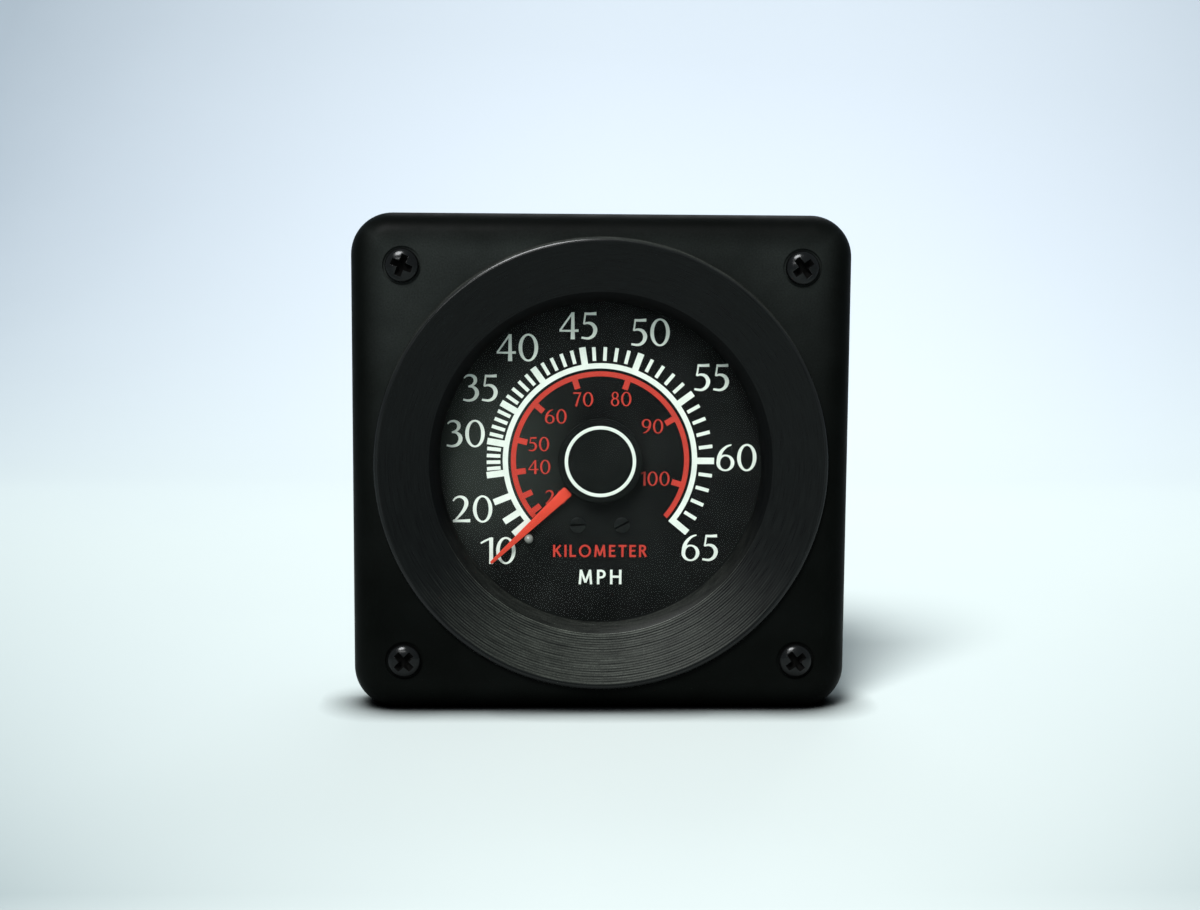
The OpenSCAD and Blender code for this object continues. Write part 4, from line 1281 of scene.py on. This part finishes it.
@dataclass
class InkLayer:
    """Collects flat outlines of one ink and makes them one thin raised piece.

    Outlines of one layer don't cross each other. Strokes that do cross lie in different layers, each a
    hair thicker than the one before, as ink lies thicker where two strokes of a pen meet.
    """

    base: float
    thickness: float
    sunk: float = 0.01
    step: float = 0.002
    tick_layer: int = 4
    layers: dict[int, list[Loop]] = field(default_factory=dict)

    def add(self, outlines: list[Loop], layer: int = 0) -> None:
        """Adds closed outlines, given as (x, up) points, to a layer."""
        self.layers.setdefault(layer, []).extend(outlines)

    def write(self, text: str, middle: Pair, height: float, figures: dict[str, Figure], gap: float) -> None:
        """Writes a word or number about its middle.

        Args:
            text: what is written.
            middle: (x, up) of its middle.
            height: height of its figures.
            figures: the table of figures or letters.
            gap: space between two of them, in units of the height.
        """
        at = -(sum(figures[figure][0] for figure in text) + gap * (len(text) - 1)) / 2
        for figure in text:
            width, *strokes = figures[figure]
            for order, stroke in enumerate(strokes):
                self.add([[(middle[0] + (at + x) * height, middle[1] + (y - 0.5) * height) for x, y in loop]
                          for loop in stroke.outline()], order)
            at += width + gap

    def tick(self, degrees: float, inner: float, outer: float, width: float) -> None:
        """Adds a straight mark that points at the centre.

        Args:
            degrees: its direction on the dial.
            inner: radius of its inner end.
            outer: radius of its outer end.
            width: its width.
        """
        cos, sin = math.cos(math.radians(degrees)), math.sin(math.radians(degrees))
        ends = ((inner, -0.5), (outer, -0.5), (outer, 0.5), (inner, 0.5))
        self.add([[(r * cos - s * width * sin, r * sin + s * width * cos) for r, s in ends]], self.tick_layer)

    def arc(self, start: float, end: float, inner: float, outer: float) -> None:
        """Adds a curved band.

        Args:
            start: the angle at which it begins.
            end: the angle at which it ends.
            inner: its inner radius.
            outer: its outer radius.
        """
        count = int(abs(end - start) / 2)
        angles = [start + (end - start) * i / count for i in range(count + 1)]
        self.add([[polar(outer, a) for a in angles] + [polar(inner, a) for a in reversed(angles)]])

    def sheet(self, outlines: list[Loop], more: float) -> Piece:
        """Makes one layer's outlines a thin solid on the dial.

        Args:
            outlines: the closed outlines.
            more: by how much both its faces stand off further than those of the first layer.

        Returns:
            The solid.
        """
        shape = bpy.data.curves.new("ink", "CURVE")
        shape.dimensions = "2D"
        shape.fill_mode = "BOTH"
        shape.extrude = ((self.thickness + self.sunk) / 2 + more) * MM
        for outline in outlines:
            spline = shape.splines.new("POLY")
            spline.points.add(len(outline) - 1)
            for point, (x, up) in zip(spline.points, outline):
                point.co = (x * MM, up * MM, 0, 1)
            spline.use_cyclic_u = True
        sheet = bpy.data.objects.new("ink", shape)
        bpy.context.scene.collection.objects.link(sheet)
        sheet.rotation_euler = (math.pi / 2, 0, 0)
        sheet.location = place(0, 0, self.base + (self.thickness - self.sunk) / 2)
        select_only(sheet)
        bpy.ops.object.convert(target="MESH")
        bpy.ops.object.transform_apply()
        sheet = bpy.context.object
        with editing(sheet, "SELECT"):
            bpy.ops.mesh.remove_doubles(threshold=0.0005 * MM)
            bpy.ops.mesh.normals_make_consistent(inside=False)
        return sheet

    def build(self) -> Piece:
        """Makes the layers one piece."""
        return join([self.sheet(loops, order * self.step) for order, loops in sorted(self.layers.items())])


@dataclass
class DialPrint(Maker):
    """The scale: miles in white outside, kilometres in red inside, both by the square of the speed."""

    zero_angle: float = 227.1
    law: float = 0.0631
    per_mile: float = 1.609344
    ink: float = 0.03
    white_arc: Pair = (19.25, 20.35)
    major_to: float = 23.9
    major_width: float = 1.35
    minor: Pair = (20.85, 23.7)
    minor_width: float = 0.74
    red_arc: Pair = (17.6, 18.65)
    red_end: float = 1.2
    red_to: float = 15.7
    red_width: float = 1.2
    mile_height: float = 5.65
    mile_gap: float = 0.10
    miles: tuple[tuple[int, float, float], ...] = (
        (10, -21.3, -19.1), (20, -26.7, -10.3), (30, -28.1, 5.55), (35, -25.0, 15.1), (40, -17.3, 23.5),
        (45, -4.65, 28.1), (50, 10.3, 26.8), (55, 23.2, 17.5), (60, 28.6, 0.7), (65, 21.15, -18.4))
    kilometre_height: float = 2.95
    kilometre_gap: float = 0.13
    kilometres: tuple[tuple[int, float, float], ...] = (
        (20, -9.2, -7.75), (40, -12.7, -1.4), (50, -12.8, 3.4), (60, -9.3, 9.2), (70, -3.6, 12.8),
        (80, 4.3, 12.9), (90, 10.9, 7.2), (100, 11.4, -3.8))
    word: tuple[Pair, float, float] = ((0.1, -19.15), 2.58, 0.245)
    unit: tuple[Pair, float, float] = ((0.1, -24.7), 3.1, 0.29)

    def angle(self, miles: float) -> float:
        """Gives the direction of a speed on the dial."""
        return self.zero_angle - self.law * miles * miles

    def white(self, base: float) -> None:
        """Prints the scale in miles and its unit.

        Args:
            base: level of the printed face.
        """
        ink = InkLayer(base, self.ink)
        ink.arc(self.angle(10), self.angle(65), *self.white_arc)
        for miles in range(10, 70, 5):
            ink.tick(self.angle(miles), self.white_arc[0], self.major_to, self.major_width)
        for miles in range(25, 65):
            if miles % 5:
                ink.tick(self.angle(miles), *self.minor, self.minor_width)
        for miles, x, up in self.miles:
            ink.write(str(miles), (x, up), self.mile_height, NUMERALS, self.mile_gap)
        middle, height, gap = self.unit
        ink.write("MPH", middle, height, LETTERS, gap)
        self.hand_over(ink.build(), "dial_print_white", "white_paint")

    def red(self, base: float) -> None:
        """Prints the scale in kilometres and its unit.

        Args:
            base: level of the printed face.
        """
        ink = InkLayer(base, self.ink)
        ink.arc(self.angle(10), self.angle(65) - self.red_end, *self.red_arc)
        for kilometres in range(20, 110, 10):
            ink.tick(self.angle(kilometres / self.per_mile), self.red_to, self.red_arc[1], self.red_width)
        for kilometres, x, up in self.kilometres:
            ink.write(str(kilometres), (x, up), self.kilometre_height, NUMERALS, self.kilometre_gap)
        middle, height, gap = self.word
        ink.write("KILOMETER", middle, height, LETTERS, gap)
        self.hand_over(ink.build(), "dial_print_red", "pointer_paint", finish="red_ink")

    def build(self) -> None:
        """Prints both inks on the dial plate."""
        self.white(level("dial_plate"))
        self.red(level("dial_plate"))


@dataclass
class PointerSet(Maker):
    """The pointer, its cap and what stands beside it on the dial."""

    rest_angle: float = 223.4
    length: float = 31.4
    root: float = 2.4
    root_gap: float = 0.25
    tip: float = 0.62
    blade_thickness: float = 0.25
    arm_thickness: float = 0.4
    arm_share: float = 0.7
    arm_lap: float = 1.0
    blade_edge: float = 0.05
    root_rounding: tuple[float, int] = (0.5, 5)
    tip_rounding: tuple[float, int] = (0.2, 3)
    hub_radius: float = 2.4
    cap_radius: float = half_width("pointer_cap")
    cap_edge: float = 0.35
    ring_radii: Pair = (6.72, 7.43)
    ring_play: float = 0.02
    ring_edge: float = 0.03
    cap_steps: int = 128
    screw_radius: float = 1.75
    screw_shank: float = 0.9
    screw_edge: float = 0.32
    screw_bulge: float = 0.3
    screw_pitch: float = 9.3
    screw_drop: float = 13.6
    screw_turns: tuple[float, ...] = (4.0, 28.0)
    slot: Pair = (0.48, 0.45)
    slot_length: float = 5.0
    slot_margin: float = 0.02
    slot_dirt: Pair = (0.05, 0.2)
    pin_neck: float = 0.7

    def blade(self) -> None:
        """Models the painted blade, with rounded root corners, on a dark arm and hub under the cap."""
        low, high = span("pointer")
        root_at = self.cap_radius + self.root_gap
        middle = high - self.blade_thickness / 2
        blade = block((root_at + self.length) / 2, 0, high - self.blade_thickness, high,
                      self.length - root_at, self.root)
        with editing(blade):
            pick(blade, Part.VERTS, lambda co: co.x > self.length * MM - NEAR)
            bpy.ops.transform.resize(value=(1, 1, self.tip / self.root),
                                     center_override=place(self.length, 0, middle))
        arm_end, tip_from = root_at + self.arm_lap, self.length - self.arm_lap
        bevel(blade, *self.root_rounding, lambda a, b: upright(a, b) and a.x < arm_end * MM)
        bevel(blade, *self.tip_rounding, lambda a, b: upright(a, b) and a.x > tip_from * MM)
        soften(blade, self.blade_edge, 50)
        self.coat(blade, "pointer_paint")
        arm = block(arm_end / 2, 0, high - self.arm_thickness, middle, arm_end, self.root * self.arm_share)
        hub = rod(0, 0, low, middle, self.hub_radius)
        for dark in (arm, hub):
            self.coat(dark, "cap_plastic")
        piece = shift(join([blade, arm, hub]), 0, 0, self.rest_angle)
        smooth(piece, 35)
        self.hand_over(piece, "pointer_blade", "pointer_paint", "pointer", body=Body.POINTER)

    def cap(self) -> None:
        """Turns the cap with its rounded rim and the groove that holds the white ring."""
        (back, front), floor = span("pointer_cap"), level("cap_ring", front=False)
        ring_in, ring_out = self.ring_radii[0] - self.ring_play, self.ring_radii[1] + self.ring_play
        radius, edge = self.cap_radius, self.cap_edge
        rim = rounding((radius - edge, front - edge), edge, range(0, 91, 15))
        cap = lathe([(0, back), (radius, back), *rim, (ring_out, front), (ring_out, floor),
                     (ring_in, floor), (ring_in, front), (0, front)], self.cap_steps)
        smooth(cap, 35)
        self.hand_over(cap, "pointer_cap_turned", "cap_plastic", "pointer_cap", body=Body.POINTER)

    def ring(self) -> None:
        """Turns the white ring that is let into the cap."""
        (back, front), (inner, outer) = span("cap_ring"), self.ring_radii
        ring = lathe([(inner, back), (outer, back), (outer, front), (inner, front)], self.cap_steps, True)
        soften(ring, self.ring_edge, 60)
        smooth(ring, 35)
        self.hand_over(ring, "cap_ring_inlay", "white_paint", "cap_ring", body=Body.POINTER)

    def dial_screws(self) -> None:
        """Makes the two small slotted screws below the pointer, with painted shade in their slots."""
        base, (end, top), (wide, deep) = level("dial_plate"), span("dial_screws"), self.slot
        radius, shank, edge, margin = self.screw_radius, self.screw_shank, self.screw_edge, self.slot_margin
        bulge, (above, inside) = edge * self.screw_bulge, self.slot_dirt
        profile = [(0, end), (shank, end), (shank, base), (radius, base), (radius, top - edge),
                   (radius - bulge, top - bulge), (radius - edge, top), (0, top)]
        for index, turn in enumerate(self.screw_turns):
            screw = lathe(profile, 40)
            carve(screw, block(0, 0, top - deep, top + PAST, self.slot_length, wide))
            smooth(screw, 35)
            self.coat(screw, "dial_screw_steel")
            # painted shade in the slot
            self.coat(screw, "recess_dirt", lambda at, normal: base + above < out_at(at) < top - margin
                      and abs(at.z) / MM < wide / 2 + margin and off_axis(at) < radius - inside)
            shift(screw, (index - 0.5) * self.screw_pitch, -self.screw_drop, turn)
            self.hand_over(screw, f"dial_screw_{index + 1}", "blackened_steel", "dial_screws")

    def stop_pin(self) -> None:
        """Turns the round-topped stop pin."""
        base, (tail, top), radius = level("dial_plate"), span("stop_pin"), half_width("stop_pin")
        neck = radius * self.pin_neck
        dome = rounding((0, top - radius), radius, range(0, 90, 15))
        pin = lathe([(0, tail), (neck, tail), (neck, base), (radius, base), *dome, (0, top)], 32)
        smooth(pin, 50)
        shift(pin, *middle_of("stop_pin"))
        self.hand_over(pin, "stop_pin_turned", "pale_plastic", "stop_pin")

    def build(self) -> None:
        """Makes the pieces on the dial."""
        for make in (self.blade, self.cap, self.ring, self.dial_screws, self.stop_pin):
            make()


# Back of the gauge


@dataclass
class Fastening(Maker):
    """Threaded studs, chamfered nuts and split washers behind the panel."""

    stud_x: float = 25.4
    stud_radius: float = 2.4
    head_height: float = 2.0
    head_flats: float = 8.8
    head_edge: float = 0.25
    head_lap: float = 0.2
    thread_from: float = -31.0
    thread_pitch: float = 0.8
    thread_depth: float = 0.42
    crest_flat: float = 0.12
    root_flat: Pair = (0.02, 0.08)
    plain_end: float = 1.0
    point: Pair = (0.1, 0.7)
    nut_flats: float = 9.5
    nut_play: float = 0.05
    nut_clear: float = 0.02
    nut_face: float = 0.97
    nut_chamfer: float = 30.0
    nut_edge: float = 0.12
    stem_nut: Pair = (14.0, 5.05)
    washer_radii: Pair = (2.5, 4.1)
    washer_split: Pair = (2.4, 0.45)
    split_slant: float = 24.0
    washer_turn: float = 60.0
    washer_edge: float = 0.1

    def pair(self, make: Callable[[], Piece], name: str, node: str, turn: float = 0.0) -> None:
        """Sets a piece on each of the two studs.

        Args:
            make: makes the piece on the dial's axis.
            name: the pieces' name, to which a number is added.
            node: the CAD node that they stand for.
            turn: by how much each is turned more than the one before, in degrees.
        """
        for index, side in enumerate((-1, 1), 1):
            piece = shift(make(), side * self.stud_x, 0, turn * index)
            self.hand_over(piece, f"{name}_{index}", "zinc_steel", node)

    def stud(self) -> Piece:
        """Turns a stud with a rolled thread and a hexagon head inside the case.

        Returns:
            The stud, on the dial's axis.
        """
        end, top = span("mounting_studs")
        radius, pitch, start = self.stud_radius, self.thread_pitch, self.thread_from
        root, head_low = radius - self.thread_depth, top - self.head_height
        count = int((start - end - self.plain_end) / pitch)
        profile = [(0, head_low + self.head_lap), (radius, head_low + self.head_lap)]
        for crest in (start - index * pitch for index in range(count)):
            profile += [(radius, crest), (radius, crest - self.crest_flat),
                        *((root, crest - pitch / 2 - more) for more in self.root_flat)]
        shoulder, tip = (radius - less for less in self.point)
        profile += [(shoulder, start - count * pitch), (tip, end), (0, end)]
        shank = lathe(profile, 40)
        head = rod(0, 0, head_low, top, self.head_flats / math.sqrt(3), 6)
        soften(head, self.head_edge, 30)
        stud = join([shank, head])
        smooth(stud, 35)
        return stud

    def nut(self, node: str, flats: float, bore: float) -> Piece:
        """Makes a hexagon nut whose corners are turned off on both faces.

        Args:
            node: the CAD node that gives its levels.
            flats: width across the flats.
            bore: radius of the hole.

        Returns:
            The nut, on the dial's axis.
        """
        low, high = span(node)
        nut = rod(0, 0, low, high, flats / math.sqrt(3), 6)
        corner, face = flats / math.sqrt(3) + self.nut_clear, flats / 2 * self.nut_face
        drop = (corner - face) * math.tan(math.radians(self.nut_chamfer))
        carve(nut, lathe([(0, low), (face, low), (corner, low + drop), (corner, high - drop), (face, high),
                          (0, high)], 96), "INTERSECT")
        carve(nut, rod(0, 0, low - PAST, high + PAST, bore))
        soften(nut, self.nut_edge, 40, 1)
        smooth(nut, 30, weighted=True)
        return nut

    def washer(self) -> Piece:
        """Makes a spring washer with its slanted split.

        Returns:
            The washer, on the dial's axis.
        """
        (low, high), (inner, outer) = span("lock_washers"), self.washer_radii
        washer = lathe([(inner, low), (outer, low), (outer, high), (inner, high)], 64, closed=True)
        split_at = (inner + outer) / 2
        split = block(split_at, 0, low - PAST, high + PAST, *self.washer_split)
        spin = Matrix.Rotation(math.radians(self.split_slant), 4, "X")
        middle = place(split_at, 0, (low + high) / 2)
        split.matrix_world = Matrix.Translation(middle) @ spin @ Matrix.Translation(-middle)
        carve(washer, shift(split, 0, 0))
        soften(washer, self.washer_edge, 40, 1)
        smooth(washer, 30)
        return washer

    def build(self) -> None:
        """Makes every fastener behind the panel."""
        bore = self.stud_radius + self.nut_play
        self.pair(self.stud, "threaded_stud", "mounting_studs")
        self.pair(lambda: self.nut("stud_nuts", self.nut_flats, bore), "stud_nut", "stud_nuts")
        stem_nut = shift(self.nut("socket_nut", *self.stem_nut), *middle_of("socket_nut"))
        self.hand_over(stem_nut, "stem_nut", "brass", "socket_nut")
        self.pair(self.washer, "lock_washer", "lock_washers", self.washer_turn)


@dataclass
class RearPieces(Maker):
    """The case and fittings behind the panel, with the edges that moulding, bending and turning give."""

    edges: tuple[tuple[str, str, float, str], ...] = (
        ("rear_case", "moulded_rear_case", 0.30, "case_plastic"),
        ("clamp_bracket", "bent_clamp_strip", 0.25, "zinc_steel"),
        ("hose_barb", "turned_hose_barb", 0.18, "brass"),
        ("socket_washer", "stem_washer", 0.15, "zinc_steel"),
        ("lamp_holder", "moulded_lamp_holder", 0.25, "case_plastic"),
        ("lamp_terminals", "stamped_lamp_blades", 0.12, "tinned_brass"),
    )
    tube_radius: float = 30.0
    tube_level: float = -8.0
    tube_root: float = 262.0
    tube_tip: float = -25.0

    def softened(self) -> None:
        """Copies the outer solids and rounds their edges."""
        for node, name, width, slot in self.edges:
            piece = cad_copy(node)
            soften(piece, width, 40)
            smooth(piece, 35, weighted=True)
            self.hand_over(piece, name, slot, node)

    def bending_tube(self) -> None:
        """Copies the pressure tube, shades it smooth, coats it in bronze and hides the CAD node."""
        tube = cad_copy("bourdon_tube")
        smooth(tube, 40)
        tube.name = tube.data.name = "bending_tube"
        self.coat(tube, "bronze")
        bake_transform(tube)
        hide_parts("bourdon_tube")
        LOG.info("bending_tube follows the tube's moving end")

    def build(self) -> None:
        """Makes every piece behind the panel that isn't a fastener."""
        self.softened()
        self.bending_tube()


# Studio


@dataclass
class Studio:
    """Pale sweep, soft lamps and the camera of the photograph. The sweep's sizes are in metres."""

    lens_mm: float = 48.0
    sensor_mm: float = 36.0
    clip_start: float = 0.01
    tilt: float = 5.84
    turn: float = 1.71
    lean: float = 0.36
    offset: Triple = (0.34, 324.03, -2.24)
    key_from: Triple = (-0.26, 0.755, 0.60)
    key_width: float = 24.0
    key_strength: float = 4.5
    key_colour: str = "#FDFEFF"
    panels: tuple[tuple[str, Triple, Pair, float], ...] = (
        ("low_strip", (-150.0, 235.0, 520.0), (260.0, 70.0), 0.55),
        ("back_panel", (80.0, 560.0, -520.0), (420.0, 300.0), 1.0),
    )
    world_light: tuple[str, float] = ("#E6EEF6", 0.14)
    world_seen: tuple[str, float] = ("#AEB9BF", 1.0)
    floor_middle: Triple = (0.0, -1.5, -0.0508)
    floor_size: Triple = (8.0, 5.0, 1.0)
    wall_height: float = 2.0
    wall_from: float = 0.5
    wall_bend: float = 0.6
    wall_steps: int = 24

    def camera(self) -> None:
        """Sets the camera where the photograph was taken from."""
        turning = (Matrix.Rotation(math.radians(self.lean), 3, "Y")
                   @ Matrix.Rotation(math.radians(self.tilt), 3, "X")
                   @ Matrix.Rotation(math.radians(self.turn), 3, "Z"))
        back = turning.transposed()
        bezel_depth = level("front_bezel") - Bezel.ring_lip
        stand = back @ (-Vector(self.offset) * MM) - Vector((0, bezel_depth * MM, 0))
        axes = Matrix([back @ Vector(axis) for axis in ((1, 0, 0), (0, 0, 1), (0, -1, 0))]).transposed()
        bpy.ops.object.camera_add(location=stand)
        camera = bpy.context.object
        camera.matrix_world = Matrix.Translation(stand) @ axes.to_4x4()
        camera.data.lens = self.lens_mm
        camera.data.sensor_width = self.sensor_mm
        camera.data.clip_start = self.clip_start
        bpy.context.scene.camera = camera

    def lamp(self, kind: str, name: str, spot: Sequence[float], **settings: object) -> None:
        """Hangs a lamp and turns it to the middle of the dial.

        Args:
            kind: the lamp's type.
            name: its name.
            spot: its place as (x, up, out).
            settings: the settings of its light.
        """
        deselect()
        bpy.ops.object.light_add(type=kind, location=place(*spot))
        lamp = bpy.context.object
        lamp.name = name
        for setting, value in settings.items():
            setattr(lamp.data, setting, value)
        lamp.rotation_mode = "QUATERNION"
        lamp.rotation_quaternion = (-place(*spot)).to_track_quat("-Z", "Y")

    def lighting(self) -> None:
        """Hangs the lamps, and sets a world that lights dimly but looks pale."""
        self.lamp("SUN", "key_softbox", [part / MM for part in self.key_from], energy=self.key_strength,
                  angle=math.radians(self.key_width), color=linear(self.key_colour)[:3])
        for name, spot, (wide, high), watts in self.panels:
            self.lamp("AREA", name, spot, shape="RECTANGLE", size=wide * MM, size_y=high * MM, energy=watts)
        world = bpy.data.worlds.new("studio")
        bpy.context.scene.world = world
        world.use_nodes = True
        nodes = Nodes(world.node_tree)
        dim, pale = (nodes.add("Background", {"Color": linear(colour), "Strength": strength})
                     for colour, strength in (self.world_light, self.world_seen))
        path = nodes.add("LightPath").outputs
        seen = nodes.calc("ADD", nodes.calc("ADD", path["Is Camera Ray"], path["Is Glossy Ray"]),
                          path["Is Transmission Ray"], clamp=True)
        nodes.end(nodes.blend(seen, dim, pale), "OutputWorld")

    def sweep(self) -> None:
        """Lays the pale floor and bends it up into a backdrop behind the gauge."""
        deselect()
        bpy.ops.mesh.primitive_plane_add(size=1, location=self.floor_middle)
        bpy.ops.object.transform_apply()
        floor = bpy.context.object
        floor.name = "studio_sweep"
        with editing(floor, "SELECT"):
            bpy.ops.transform.resize(value=self.floor_size, center_override=self.floor_middle)
            pick(floor, Part.EDGES, lambda a, b: min(a.y, b.y) > self.wall_from)
            bpy.ops.mesh.extrude_edges_move(TRANSFORM_OT_translate={"value": (0, 0, self.wall_height)})
        bevel(floor, self.wall_bend / MM, self.wall_steps,
              lambda a, b: min(a.y, b.y) > self.wall_from and max(a.z, b.z) < 0)
        smooth(floor, 60)
        floor.data.materials.append(SweepPaper("matt_white_paper").make())

    def build(self) -> None:
        """Sets up the whole studio."""
        self.camera()
        self.lighting()
        self.sweep()
        bpy.context.scene.view_settings.view_transform = "Standard"


def main() -> None:
    """Builds the gauge's looks and its studio."""
    logging.basicConfig(level=logging.INFO, format="%(name)s: %(message)s")
    finishes = Finishes()
    finishes.dress_cad()
    bezel = Bezel(finishes)
    for group in (bezel, BezelScrews(finishes, bezel), DialPrint(finishes), PointerSet(finishes),
                  Fastening(finishes), RearPieces(finishes), Studio()):
        group.build()


if __name__ == "__main__":
    main()
